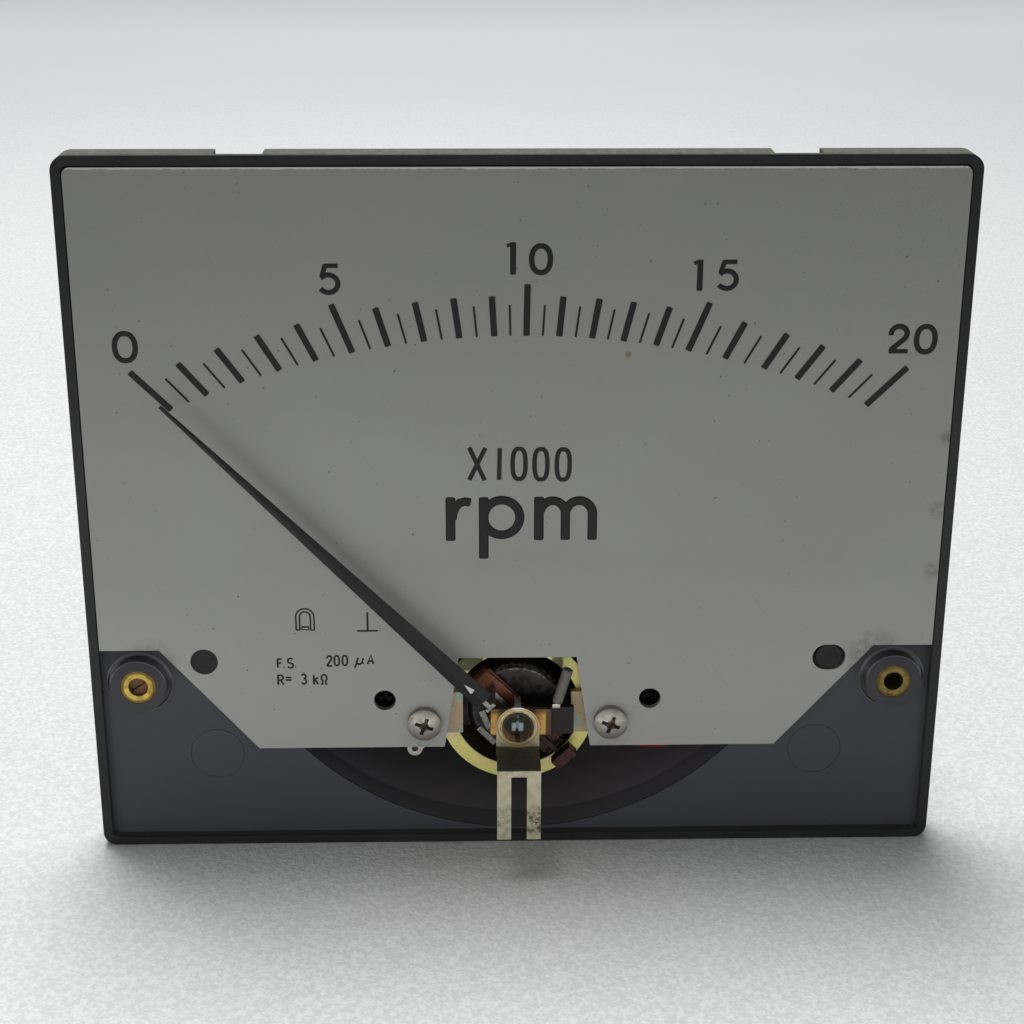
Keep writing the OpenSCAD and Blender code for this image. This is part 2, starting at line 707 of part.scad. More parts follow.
sleeve_from = 0.5;
module stop_sleeve() color([0.45, 0.44, 0.43]) on_axis()
  translate(stop_foot) rotate([0, stop_lean, 0]) translate([0, 0, sleeve_from])
    difference() {
      cylinder(r = sleeve_r, h = stop_len - sleeve_from);
      translate([0, 0, -1]) cylinder(r = wire_r, h = stop_len + 1);
    }

module rear_bridge() color([0.31, 0.22, 0.20]) on_axis() difference() {
  union() {
    slab(rear_bridge_back_y, rear_bridge_y)
      square([2 * rear_leg_out, bridge_h], center = true);
    for (x = [-1, 1]) translate([x * rear_leg_x, 0]) slab(rear_bridge_y + 0.1, ring_back_y)
      square([rear_leg_out - rear_leg_in, bridge_h], center = true);
  }
  rod(jewel_neck_r, rear_bridge_y - 1, rear_bridge_back_y + 1);
  for (x = [-1, 1]) rod(small_screw_r, ring_back_y - 1, rear_bridge_back_y + 1, x * rear_leg_x);
}

small_head_r = 1.3;
small_head_h = 0.8;
small_slot = 0.3;
module rear_bridge_screws() color([0.62, 0.61, 0.57]) on_axis()
  for (x = [-1, 1]) translate([x * rear_leg_x, 0, 0]) difference() {
    union() {
      rod(small_screw_r, ring_back_y - small_screw_in, rear_bridge_back_y);
      rod(small_head_r, rear_bridge_back_y, rear_bridge_back_y + small_head_h);
    }
    translate([-small_head_r - 1, rear_bridge_back_y + small_head_h / 2, -small_slot / 2])
      cube([2 * small_head_r + 2, 1, small_slot]);
  }

rear_nut_t = 1.4;
module rear_jewel_screw() color([0.62, 0.55, 0.36]) on_axis() difference() {
  rod(jewel_neck_r, rear_jewel_y, rear_bridge_back_y + rear_nut_t + 0.6);
  rod(jewel_r, rear_jewel_y - 1, rear_jewel_y + jewel_len);
  translate([-2, rear_bridge_back_y + rear_nut_t + 0.1, -0.2]) cube([4, 1, 0.4]);
}

module rear_jewel() color([0.75, 0.20, 0.25]) on_axis() difference() {
  rod(jewel_r, rear_jewel_y, rear_jewel_y + jewel_len);
  translate([0, rear_jewel_y, 0]) mirror([0, 1, 0]) jewel_cup();
}

module rear_lock_nut() color([0.72, 0.55, 0.25]) on_axis()
  hex_nut(4, jewel_neck_r, rear_bridge_back_y, rear_bridge_back_y + rear_nut_t, 0, 0);

// The rear anchor is a tag on the rear bridge that holds the rear hairspring's outer end
anchor_w = 1.2;
module rear_anchor() color([0.72, 0.55, 0.25]) on_axis() {
  translate([-anchor_w / 2, rear_spring_y - 0.1, -rear_spring_r - 0.9])
    difference() {
      cube([anchor_w, rear_bridge_y - rear_spring_y + 0.1, 0.5]);
      translate([anchor_w / 2 - tab_slot / 2, -1, -1]) cube([tab_slot, strip_w + 1.2, 2]);
    }
  slab(rear_bridge_y, rear_bridge_y - 0.3) difference() {
    translate([-anchor_w / 2, -rear_spring_r - 2.6]) square([anchor_w, rear_spring_r + 1.2]);
    translate([0, -rear_spring_r - 2]) circle(lead_r);
  }
}

// Hairspring strip: an even spiral that ends in a short straight tail in its anchor's slot
spring_steps = 24;
function spiral(r0, r1, turns, side) = [for (i = [0 : spring_steps * turns])
  let (a = 360 * i / spring_steps, r = r0 + (r1 - r0) * i / (spring_steps * turns) + side * strip_t / 2)
    [r * cos(a), r * sin(a)]];
function reversed(p) = [for (i = [len(p) - 1 : -1 : 0]) p[i]];

// The spiral's outer end lies at the direction end_dir, and the tail runs outward from there
module hairspring(y_front, r0, r1, turns, end_dir, tail)
  slab(y_front + strip_w, y_front) rotate(end_dir - 360 * turns) {
    polygon(concat(spiral(r0, r1, turns, 1), reversed(spiral(r0, r1, turns, -1))));
    rotate(360 * turns) translate([r1 - strip_t, -strip_t / 2]) square([tail, strip_t]);
  }

front_spring_tail = 0.75;
rear_spring_tail = 0.85;
module front_hairspring() color([0.80, 0.62, 0.30]) on_axis()
  hairspring(spring_y - strip_w, collet_r + strip_t / 2, front_spring_r, front_turns, 90,
    front_spring_tail);

module rear_hairspring() color([0.80, 0.62, 0.30]) on_axis()
  hairspring(rear_spring_y, collet_r + strip_t / 2, rear_spring_r, rear_turns, 270,
    rear_spring_tail);

// A closed frame round the core, seen along its own width
module coil_frame(out_r, in_r, y0, y1, wall)
  difference() {
    translate([-out_r, y0]) square([2 * out_r, y1 - y0]);
    translate([-in_r, y0 + wall]) square([2 * in_r, y1 - y0 - 2 * wall]);
  }

module across_coil(w)
  toward(rest_dir) translate([0, 0, -w / 2]) linear_extrude(w) children();

former_w = winding_w + 0.4;
module coil_former() color([0.72, 0.72, 0.70]) on_axis() across_coil(former_w)
  coil_frame(coil_in_r + former_t, coil_in_r, coil_in_y - former_t,
    ring_back_y + core_end_gap + former_t, former_t);

// The outside turns of the coil: one unbroken tube, wound on a plain core of turns with round
// corners. Each turn has six points a quarter, five on the corner and one half way to the next
turn_pitch = 0.6;
turn_steps = 24;
tube_sides = 6;
turn_r = 1.1;
half_x = coil_out_r - wire_d / 2;
half_y = (coil_back_y - coil_front_y - wire_d) / 2;
mid_y = (coil_back_y + coil_front_y) / 2;
first_turn_z = -outer_turns * turn_pitch / 2;
turn_count = turn_steps * outer_turns;
function loop_point(q, m) = m == 5
  ? [half_x * cos(90 * q + 90), half_y * sin(90 * q + 90)]
  : [sign(cos(90 * q + 45)) * (half_x - turn_r) + turn_r * cos(90 * q + 22.5 * m),
     sign(sin(90 * q + 45)) * (half_y - turn_r) + turn_r * sin(90 * q + 22.5 * m)];
function turn_point(i) = let (p = loop_point(floor(i / 6) % 4, i % 6))
  [p[0], mid_y + p[1], first_turn_z + turn_pitch * i / turn_steps];
turns = [for (i = [0 : turn_count]) turn_point(i)];
// Both ends of the wire dive into the core
winding_route = concat([turns[0] + [-0.35, -1.2, 0]], turns, [turns[turn_count] + [-0.6, 0.8, 0]]);

function unit(v) = v / norm(v);
function heading(p, i) = unit(p[min(i + 1, len(p) - 1)] - p[max(i - 1, 0)]);
function ring_at(p, i, r, sides, up) = let (t = heading(p, i), u = unit(cross(t, up)), v = cross(t, u))
  [for (k = [0 : sides - 1]) p[i] + r * (cos(360 * k / sides) * u + sin(360 * k / sides) * v)];

// Sweeps a round tube along the points p; up is a direction that the route never takes
module swept_tube(p, r, sides, up) {
  n = len(p);
  verts = [for (i = [0 : n - 1]) each ring_at(p, i, r, sides, up)];
  skin = [for (i = [0 : n - 2], k = [0 : sides - 1]) let (a = i * sides + k,
    b = i * sides + (k + 1) % sides) each [[a, b + sides, b], [a, a + sides, b + sides]]];
  ends = [[for (k = [0 : sides - 1]) k], [for (k = [sides - 1 : -1 : 0]) (n - 1) * sides + k]];
  polyhedron(verts, concat(skin, ends), convexity = 6);
}

// Least distance from one turn to the next, and from one spring coil to the next
function least_gap(p, step, d) = min([for (i = [0 : len(p) - 1 - step], k = [-2 : 2])
  norm(p[i] - p[max(0, min(len(p) - 1, i + step + k))])]) - d;
function spring_gap(r0, r1, n) = (r1 - r0) / n - strip_t;
echo(turn_gap = least_gap(turns, turn_steps, wire_d));
echo(front_spring_gap = spring_gap(collet_r + strip_t / 2, front_spring_r, front_turns));
echo(rear_spring_gap = spring_gap(collet_r + strip_t / 2, rear_spring_r, rear_turns));

module coil_winding() color([0.45, 0.26, 0.19]) on_axis() {
  across_coil(winding_w) difference() {
    translate([0, mid_y]) round_rect(2 * half_x, 2 * half_y, turn_r);
    translate([-coil_in_r - former_t, coil_in_y - former_t])
      square([2 * (coil_in_r + former_t), ring_len + 2 * (core_end_gap + former_t)]);
  }
  toward(rest_dir) swept_tube(winding_route, wire_d / 2, tube_sides, [0, 0, 1]);
}

// A pivot: foot on the coil at y0, collet for the hairspring from y1 to y2, and a pointed
// needle that ends at y3. It points forward where s is -1
module pivot(y0, y1, y2, y3, s) {
  needle_end = y3 - s * cone_len;
  rod(pivot_foot_r, min(y0, y0 + s * pad_t), max(y0, y0 + s * pad_t));
  rod(pivot_r, min(y0, needle_end), max(y0, needle_end));
  rod(collet_r, min(y1, y2), max(y1, y2));
  translate([0, needle_end, 0]) rotate([-90 * s, 0, 0])
    cylinder(r1 = pivot_r, r2 = tip_r, h = cone_len);
}

module front_pivot() color([0.60, 0.60, 0.62]) on_axis()
  pivot(coil_front_y, carrier_y, spring_y - strip_w - 0.05, front_jewel_y - tip_in, -1);

module rear_pivot() color([0.60, 0.60, 0.62]) on_axis()
  pivot(coil_back_y, coil_back_y + pad_t, rear_spring_y + strip_w + 0.1, rear_jewel_y + tip_in, 1);

// Each side leaf: direction from the pointer, distance from the axis, turn and length
leaves = [[53, 4.55, 14, 3.1], [81, 5.3, 8, 3.4]];
leaf_w = 0.9;
leaf_t = 0.5;
tail_r = coil_out_r + 0.05;
module pointer_carrier() color([0.72, 0.72, 0.70]) on_axis() difference() {
  union() {
    rod(carrier_hub_r, carrier_y, carrier_y + carrier_t);
    toward(rest_dir) {
      translate([-tail_r - tail_weight_len, carrier_y, -arm_w / 2])
        cube([tail_r + tail_weight_len + riser_in, carrier_t, arm_w]);
      translate([riser_in, finger_y, -riser_w / 2])
        cube([riser_t, carrier_y + carrier_t - finger_y, riser_w]);
      translate([riser_in, finger_y, -arm_w / 2])
        cube([pointer_root + finger_len - riser_in, finger_t, arm_w]);
      for (leaf = leaves) toward(leaf[0])
        translate([0, carrier_y, -arm_w / 2]) cube([leaf[1] + leaf_w / 2, carrier_t, arm_w]);
    }
  }
  rod(pivot_r, carrier_y - 1, carrier_y + 1);
}

// The tail weight is a clip on the tail, beyond the coil's end
module tail_weight() color([0.40, 0.27, 0.20]) on_axis() toward(rest_dir)
  translate([-tail_r - tail_weight_len, carrier_y + carrier_t - tail_weight_t,
    tail_shift - tail_weight_w / 2]) difference() {
    cube([tail_weight_len, tail_weight_t, tail_weight_w]);
    translate([-1, tail_weight_t - carrier_t, tail_weight_w / 2 - tail_shift - arm_w / 2])
      cube([tail_weight_len + 2, carrier_t + 1, arm_w]);
  }

module side_weights() color([0.70, 0.70, 0.67]) on_axis() toward(rest_dir)
  for (leaf = leaves) toward(leaf[0]) translate([leaf[1], carrier_y - leaf_t, 0])
    toward(leaf[2]) translate([-leaf_w / 2, 0, -leaf[3] / 2]) cube([leaf_w, leaf_t, leaf[3]]);

// The pointer is a tapering blade, folded along its crest, which faces forward
fold_depth = root_w / 2 * tan(pointer_fold);
module pointer() color([0.10, 0.10, 0.11]) on_axis() toward(rest_dir) intersection() {
  translate([pointer_root, pointer_y, 0]) rotate([90, 0, 90])
    linear_extrude(pointer_len - pointer_root) polygon([[0, 0], [fold_depth, root_w / 2],
      [fold_depth + blade_t, root_w / 2], [blade_t, 0], [fold_depth + blade_t, -root_w / 2],
      [fold_depth, -root_w / 2]]);
  slab(pointer_y + 2, pointer_y - 1) polygon([[pointer_root, -root_w / 2],
    [pointer_len, -tip_w / 2], [pointer_len, tip_w / 2], [pointer_root, root_w / 2]]);
}

// Routes of the leads inside the barrel, from the right tag to the resistor, from the earth tag
// to the left tag, and from the resistor to the rear anchor
cable_r = 0.65;
lead_r = 0.3;
red_route = [[18, 34.7, -2.2], [18, 33, -2.3], [18.6, 31, -3.6], [20.2, 29, -7.4],
  [22.5, 27, -12], [24.6, 24, -17], [26.2, 20, -22], [27, 15.5, -26], [26.8, 11, -29],
  [25.8, 7.8, -31.2], [24.2, 6, -32.3], [21.8, 5.4, -33], [19.4, 6.6, -33.7], [17.9, 9.6, -34.6],
  [17.3, 13.5, -35.4], [17, 17.8, -35.9], [16.8, 20, -36], [15.6, 21, -36], [14, 21, -36]];
eye_z = axis_z + tag_eye[1];
black_route = [[tag_eye[0], dial_back_y + tag_t, eye_z], [-14.8, -2, eye_z - 0.1],
  [-15.1, 1, eye_z - 0.3], [-16, 5, eye_z - 0.5], [-18, 9.5, eye_z - 0.3],
  [-20.8, 14, axis_z - 3.4], [-23.6, 18, axis_z], [-25.3, 21.5, axis_z + 5],
  [-25.4, 24.5, -13.5], [-23.8, 27.4, -8.5],
  [-20.6, 30, -4.6], [-18.3, 32.4, -2.6], [-18, 34.7, -2.2]];
link_route = [[2, 21, -36], [1.2, 21, -36], [0.3, 20.5, -35.4], [0, 19.6, axis_z - 9.6],
  [0, 18.6, axis_z - 7.6], [0, 17.5, axis_z - 6.5], [0, 16.1, axis_z - 6.4]];
// Points between the hand-chosen ones, on a smooth curve through them
function smooth(p, i, t) = let (a = p[max(i - 1, 0)], b = p[i], c = p[i + 1],
  d = p[min(i + 2, len(p) - 1)])
  0.5 * ((2 * b) + (c - a) * t + (2 * a - 5 * b + 4 * c - d) * t * t
    + (3 * b - a - 3 * c + d) * t * t * t);
function smoothed(p, n) = concat([for (i = [0 : len(p) - 2], k = [0 : n - 1]) smooth(p, i, k / n)],
  [p[len(p) - 1]]);

never_along = [1, 0.3, 0.15];
module red_lead() color([0.62, 0.14, 0.13])
  swept_tube(smoothed(red_route, 3), cable_r, 8, never_along);

module black_lead() color([0.10, 0.10, 0.10])
  swept_tube(smoothed(black_route, 3), cable_r, 8, never_along);

// The series resistor hangs on its own stiff leads, between the red lead and the rear anchor
resistor_at = link_route[0];
resistor_len = 8;
resistor_r = 1.5;
module series_resistor() {
  color([0.60, 0.50, 0.36]) translate(resistor_at) rotate([0, 90, 0])
    cylinder(r = resistor_r, h = resistor_len);
  color([0.75, 0.75, 0.73]) {
    translate([resistor_at[0] + resistor_len, resistor_at[1], resistor_at[2]])
      rotate([0, 90, 0]) cylinder(r = lead_r, h = 4);
    swept_tube(smoothed(link_route, 3), lead_r, 8, [0, 0.2, 1]);
  }
}

terminal_out_y = barrel_len + terminal_boss_h;
inner_stud_y = rear_in_y - washer_t - nut_t - 1;
module terminal_studs() color([0.72, 0.60, 0.32])
  terminal_places() rod(terminal_r, inner_stud_y, terminal_out_y + terminal_len);

// Solder tags, clamped between the rear wall and the inner nuts, with their eyes downward
terminal_tag_drop = 6.4;
terminal_tag_r = 1.3;
eye_up = 0.2;
module terminal_tags() color([0.72, 0.70, 0.62])
  terminal_places() slab(rear_in_y, rear_in_y - washer_t) difference() {
    union() {
      circle(washer_r - 0.5);
      translate([-terminal_tag_r, -terminal_tag_drop])
        square([2 * terminal_tag_r, terminal_tag_drop]);
      translate([0, -terminal_tag_drop]) circle(terminal_tag_r);
    }
    circle(terminal_r);
    translate([0, eye_up - terminal_tag_drop]) circle(eye_r);
  }

module terminal_inner_nuts() color([0.72, 0.60, 0.32])
  terminal_places()
    hex_nut(nut_w, terminal_r, rear_in_y - washer_t - nut_t, rear_in_y - washer_t, 0, 0);

nut_pair_gap = 3.2;
second_nut_y = terminal_out_y + washer_t + nut_t + nut_pair_gap;
module terminal_washers() color([0.70, 0.69, 0.65])
  terminal_places() {
    tube_y(washer_r, terminal_r, terminal_out_y, terminal_out_y + washer_t);
    tube_y(washer_r, terminal_r, second_nut_y - washer_t, second_nut_y);
  }

module terminal_nuts() color([0.72, 0.60, 0.32])
  terminal_places() for (y = [terminal_out_y + washer_t, second_nut_y])
    hex_nut(nut_w, terminal_r, y, y + nut_t, 0, 0);

// Each stud is moulded in by its head, which ends in the panel face
module mounting_studs() color([0.66, 0.66, 0.64])
  stud_places() {
    rod(stud_head_r, -stud_seat, 0);
    rod(stud_r, -1, stud_plain);
    rod(stud_thread_r, 0, stud_len);
  }

stud_nut_y = 6;
module mounting_washers() color([0.70, 0.69, 0.65])
  stud_places() tube_y(washer_r, stud_thread_r, stud_nut_y, stud_nut_y + washer_t);

module mounting_nuts() color([0.66, 0.66, 0.64])
  stud_places()
    hex_nut(nut_w, stud_thread_r, stud_nut_y + washer_t, stud_nut_y + washer_t + nut_t, 0, 0);

base_case();
barrel_shell();
cover_inserts();
insert_screw();
dial_plate();
scale_marks();
dial_screws();
dial_spacers();
earth_tag();
frame_plates();
frame_screws();
yoke_ring();
core_magnet();
core_keys();
front_bridge();
bridge_bush();
front_jewel_screw();
front_jewel();
friction_sleeve();
zero_adjuster();
stop_wire();
stop_sleeve();
rear_bridge();
rear_bridge_screws();
rear_jewel_screw();
rear_jewel();
rear_lock_nut();
rear_anchor();
front_hairspring();
rear_hairspring();
coil_former();
coil_winding();
front_pivot();
rear_pivot();
pointer_carrier();
tail_weight();
side_weights();
pointer();
series_resistor();
red_lead();
black_lead();
terminal_studs();
terminal_tags();
terminal_inner_nuts();
terminal_washers();
terminal_nuts();
mounting_studs();
mounting_washers();
mounting_nuts();
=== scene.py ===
# %% [markdown]
# # Panel tachometer
# A moving-coil panel meter with its clear cover taken off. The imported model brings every
# solid at its true size and place, in metres. This lesson gives the solids soft edges and
# real finishes, prints the dial, winds the coil wire by wire and cuts the threads.

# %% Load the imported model
import json
from contextlib import contextmanager
from math import cos, pi, radians, sin, sqrt

import bmesh
import bpy
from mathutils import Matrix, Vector


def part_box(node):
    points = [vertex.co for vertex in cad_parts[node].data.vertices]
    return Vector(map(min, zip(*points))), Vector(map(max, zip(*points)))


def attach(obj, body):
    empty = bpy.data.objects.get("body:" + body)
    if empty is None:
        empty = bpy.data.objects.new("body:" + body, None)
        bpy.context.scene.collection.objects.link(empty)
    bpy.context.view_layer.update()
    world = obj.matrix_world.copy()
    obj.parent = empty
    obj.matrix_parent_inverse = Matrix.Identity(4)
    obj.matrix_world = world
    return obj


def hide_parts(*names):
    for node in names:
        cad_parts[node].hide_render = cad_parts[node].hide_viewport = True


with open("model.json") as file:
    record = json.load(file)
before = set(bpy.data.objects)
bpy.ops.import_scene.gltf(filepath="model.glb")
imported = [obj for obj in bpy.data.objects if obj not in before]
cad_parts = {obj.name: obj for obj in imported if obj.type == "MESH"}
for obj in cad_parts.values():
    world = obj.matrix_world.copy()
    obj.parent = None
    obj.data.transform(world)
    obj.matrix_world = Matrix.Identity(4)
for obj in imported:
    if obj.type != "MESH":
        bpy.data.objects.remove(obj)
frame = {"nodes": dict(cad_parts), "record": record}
nodes = frame["nodes"]
record = frame["record"]
body_of_node = {n: body for body, members in record["behaviour"]["bodies"].items() for n in members}
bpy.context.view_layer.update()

# %% [markdown]
# The pieces come in the order of the drawing: case, dial, movement, then the back. Lengths
# below are in millimetres, because the whole meter is drawn so, and MM turns them to metres.
# The dial lies 5.2 mm in front of the panel face, and the pivot 24 mm below the barrel's axis.

# %% Places that several steps need
MM = 0.001
DIAL_FACE_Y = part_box("dial_plate")[0].y / MM
FLANGE_Z = 6.5
BORE_RADIUS = 42.2
PIVOT_Z = -24
POINTER_DIRECTION = radians(134.4)
print("dial face at", round(DIAL_FACE_Y, 2), "mm")


# %% [markdown]
# Machined and moulded things never have knife edges, and it is the small round along an
# edge that catches the light. A solid of the model comes as loose triangles with sharp
# edges, so the helper takes a copy of it, joins the copy's doubled points, dissolves the
# flat triangles into whole faces and gives the remaining edges a fine bevel. The copy then
# stands for the solid and moves with the same body.

# %% Helpers that copy a solid, shape it and name it
def only(piece):
    """Selects one piece and nothing else, and makes it the active one."""
    if bpy.context.object and bpy.context.object.mode != "OBJECT":
        bpy.ops.object.mode_set(mode="OBJECT")
    bpy.ops.object.select_all(action="DESELECT")
    piece.select_set(True)
    bpy.context.view_layer.objects.active = piece
    return piece


@contextmanager
def edited(piece):
    """Opens a piece in edit mode with all of it selected, and closes it at the end."""
    only(piece)
    bpy.ops.object.mode_set(mode="EDIT")
    bpy.ops.mesh.select_all(action="SELECT")
    yield
    bpy.ops.object.mode_set(mode="OBJECT")


def apply_modifiers(piece):
    only(piece)
    for modifier in list(piece.modifiers):
        bpy.ops.object.modifier_apply(modifier=modifier.name)
    return piece


def bevelled(piece, width, segments=2, angle=40):
    """Rounds the edges that turn by more than angle; width is in millimetres."""
    bevel = piece.modifiers.new("edge", "BEVEL")
    bevel.width = width * MM
    bevel.segments = segments
    bevel.limit_method = "ANGLE"
    bevel.angle_limit = radians(angle)
    return apply_modifiers(piece)


def cut_by(piece, tool, operation):
    """Cuts a piece with a tool, and takes the tool away."""
    cut = piece.modifiers.new(operation.lower(), "BOOLEAN")
    cut.operation = operation
    cut.solver = "EXACT"
    cut.object = tool
    apply_modifiers(piece)
    bpy.data.objects.remove(tool)


def smooth_by_angle(piece, angle=32):
    only(piece)
    bpy.ops.object.shade_smooth_by_angle(angle=radians(angle))
    return piece


def even_shading(piece, angle=32):
    """Smooths a piece, but keeps its wide flat faces flat beside the rounded edges."""
    smooth_by_angle(piece, angle)
    weigh = piece.modifiers.new("shading", "WEIGHTED_NORMAL")
    weigh.keep_sharp = True
    return apply_modifiers(piece)


def settle(piece, name, body, finish):
    """Names a finished piece, gives it its material and lets it ride on its body."""
    piece.name = name
    piece.data.name = name
    piece.data.materials.clear()
    piece.data.materials.append(finish)
    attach(piece, body)
    print(name, len(piece.data.polygons), "faces")
    return piece


def merged_copy(node):
    """A copy of a solid as one clean mesh of whole faces."""
    only(nodes[node])
    bpy.ops.object.duplicate()
    copy = bpy.context.object
    copy.parent = None
    for key in list(copy.keys()):
        del copy[key]
    only(copy)
    bpy.ops.mesh.customdata_custom_splitnormals_clear()
    with edited(copy):
        bpy.ops.mesh.remove_doubles(threshold=2e-6)
        bpy.ops.mesh.dissolve_limited(angle_limit=radians(0.6))
    return copy


def softened(node, edge, finish, name, segments=2, angle=40):
    """Stands for a CAD solid with the same shape and rounded edges, edge in millimetres."""
    piece = even_shading(bevelled(merged_copy(node), edge, segments, angle))
    settle(piece, name, body_of_node[node], finish)
    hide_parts(node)
    return piece


def dress(node, finish):
    """Gives a CAD solid a finish and leaves its shape as it is."""
    nodes[node].data.materials.clear()
    nodes[node].data.materials.append(finish)


# %% [markdown]
# Every finish is a small net of nodes that reads Object coordinates, so a pattern stays put
# on the piece at any pose. A finish starts as a base colour, and noise of two or three sizes
# then dusts, stains and scratches it. The helpers below add the usual links: a coordinate
# in millimetres, a noise, a ramp that turns noise to a mask, and a mix of two colours.

# %% Helpers for the finishes
class Finish:
    """A node material that is built up link by link."""

    def __init__(self, name, colour, metallic=0.0, roughness=0.5, **sockets):
        self.material = bpy.data.materials.new(name + "_finish")
        self.material.use_nodes = True
        self.material.diffuse_color = (*colour, 1)
        self.tree = self.material.node_tree
        self.shader = self.tree.nodes["Principled BSDF"]
        self.colour = (*colour, 1)
        self.set(self.shader, Base_Color=self.colour, Metallic=metallic,
                 Roughness=roughness, **sockets)
        self.colour_from = None
        self.bump_from = None
        self.here = self.place()

    def set(self, node, **sockets):
        """Sets inputs of a node; a socket's name is written with _ for its spaces."""
        for socket, value in sockets.items():
            node.inputs[socket.replace("_", " ")].default_value = value
        return node

    def add(self, kind, **sockets):
        return self.set(self.tree.nodes.new(kind), **sockets)

    def link(self, a, b):
        self.tree.links.new(a, b)

    def place(self, centre=(0, 0, 0), turn=(0, 0, 0), stretch=(1, 1, 1)):
        """Object coordinates in millimetres round centre, turned and stretched."""
        mapping = self.add("ShaderNodeMapping")
        mapping.vector_type = "TEXTURE"
        self.set(mapping, Location=[c * MM for c in centre], Rotation=turn,
                 Scale=[MM / s for s in stretch])
        self.link(self.add("ShaderNodeTexCoord").outputs["Object"], mapping.inputs["Vector"])
        return mapping.outputs["Vector"]

    def noise(self, size, detail=3, rough=0.55, where=None):
        """Noise whose blotches are about size millimetres across."""
        node = self.add("ShaderNodeTexNoise", Scale=1 / size, Detail=detail, Roughness=rough)
        self.link(self.here if where is None else where, node.inputs["Vector"])
        return node.outputs["Fac"]

    def waves(self, kind, axis, scale, distortion, where=None):
        """Even BANDS or RINGS along an axis."""
        node = self.add("ShaderNodeTexWave", Scale=scale, Distortion=distortion)
        node.wave_type = kind
        node.bands_direction = node.rings_direction = axis
        self.link(self.here if where is None else where, node.inputs["Vector"])
        return node.outputs["Fac"]

    def ramp(self, value, low, high, first, last):
        node = self.add("ShaderNodeMapRange", From_Min=low, From_Max=high,
                        To_Min=first, To_Max=last)
        self.link(value, node.inputs["Value"])
        return node.outputs["Result"]

    def mask(self, value, low, high, most=1.0):
        """0 below low, most above high, and a slope between them."""
        return self.ramp(value, low, high, 0, most)

    def between(self, value, low, full, fading, gone, most=1.0):
        """A mask that rises from low to full, and falls again from fading to gone."""
        return self.times(self.mask(value, low, full, most), self.mask(value, gone, fading))

    def maths(self, operation, a, b=None):
        node = self.add("ShaderNodeMath")
        node.operation = operation
        for socket, value in zip(node.inputs, (a, b)):
            if value is None:
                continue
            if isinstance(value, (int, float)):
                socket.default_value = value
            else:
                self.link(value, socket)
        return node.outputs[0]

    def times(self, a, b):
        return self.maths("MULTIPLY", a, b)

    def absolute(self, value):
        return self.maths("ABSOLUTE", value)

    def parts(self, vector=None):
        """The x, y and z of a coordinate."""
        node = self.add("ShaderNodeSeparateXYZ")
        self.link(self.here if vector is None else vector, node.inputs[0])
        return node.outputs

    def reach(self, x, z, centre_x=0, centre_z=0):
        """The distance from an axis along Y."""
        away = self.maths("SUBTRACT", x, centre_x), self.maths("SUBTRACT", z, centre_z)
        return self.maths("SQRT", self.maths("ADD", *(self.times(side, side) for side in away)))

    def stain(self, colour, *masks):
        """Lays a colour over what is there, where the mask or both masks say."""
        mask = masks[0] if len(masks) == 1 else self.times(*masks)
        node = self.add("ShaderNodeMix")
        node.data_type = "RGBA"
        factor, under, over = node.inputs[0], node.inputs[6], node.inputs[7]
        self.link(mask, factor)
        under.default_value = self.colour
        if self.colour_from is not None:
            self.link(self.colour_from, under)
        over.default_value = (*colour, 1)
        self.colour_from = node.outputs[2]

    def blotches(self, size, low, high, most, colour, **kind):
        """Stains the places where a noise is high."""
        self.stain(colour, self.mask(self.noise(size, **kind), low, high, most))

    def uneven_gloss(self, value, low, high):
        """Lets the roughness run from low to high with a noise."""
        self.link(self.ramp(value, 0.3, 0.7, low, high), self.shader.inputs["Roughness"])

    def raise_by(self, value, height, strength=1.0):
        """Adds a bump of the given height in millimetres."""
        node = self.add("ShaderNodeBump", Strength=strength, Distance=height * MM)
        self.link(value, node.inputs["Height"])
        if self.bump_from is not None:
            self.link(self.bump_from, node.inputs["Normal"])
        self.bump_from = node.outputs["Normal"]

    def done(self):
        if self.colour_from is not None:
            self.link(self.colour_from, self.shader.inputs["Base Color"])
        if self.bump_from is not None:
            self.link(self.bump_from, self.shader.inputs["Normal"])
        print("finish:", self.material.name, len(self.tree.nodes), "nodes")
        return self.material


# %% [markdown]
# The case is a black moulding with a fine grain. Years on a shelf left a grey film in the
# tray and on the bosses, and a brown-grey dust along the top edge, where lint sticks too.
# Painted light lightens the bore, the tray's inner walls and the moats round the bosses, and
# painted shade darkens the tray under the dial's lower corners and the peg tips. Masks by
# place lay the film, and finer noises break up the dust.

# %% Black moulding
BOSS_X, BOSS_Z = 53.5, -18.25
PEG_X, PEG_Z = 44, -14.3


def inside_bore(f):
    x, y, z = f.parts()
    return f.mask(f.reach(x, z), BORE_RADIUS + 0.1, BORE_RADIUS - 0.1)


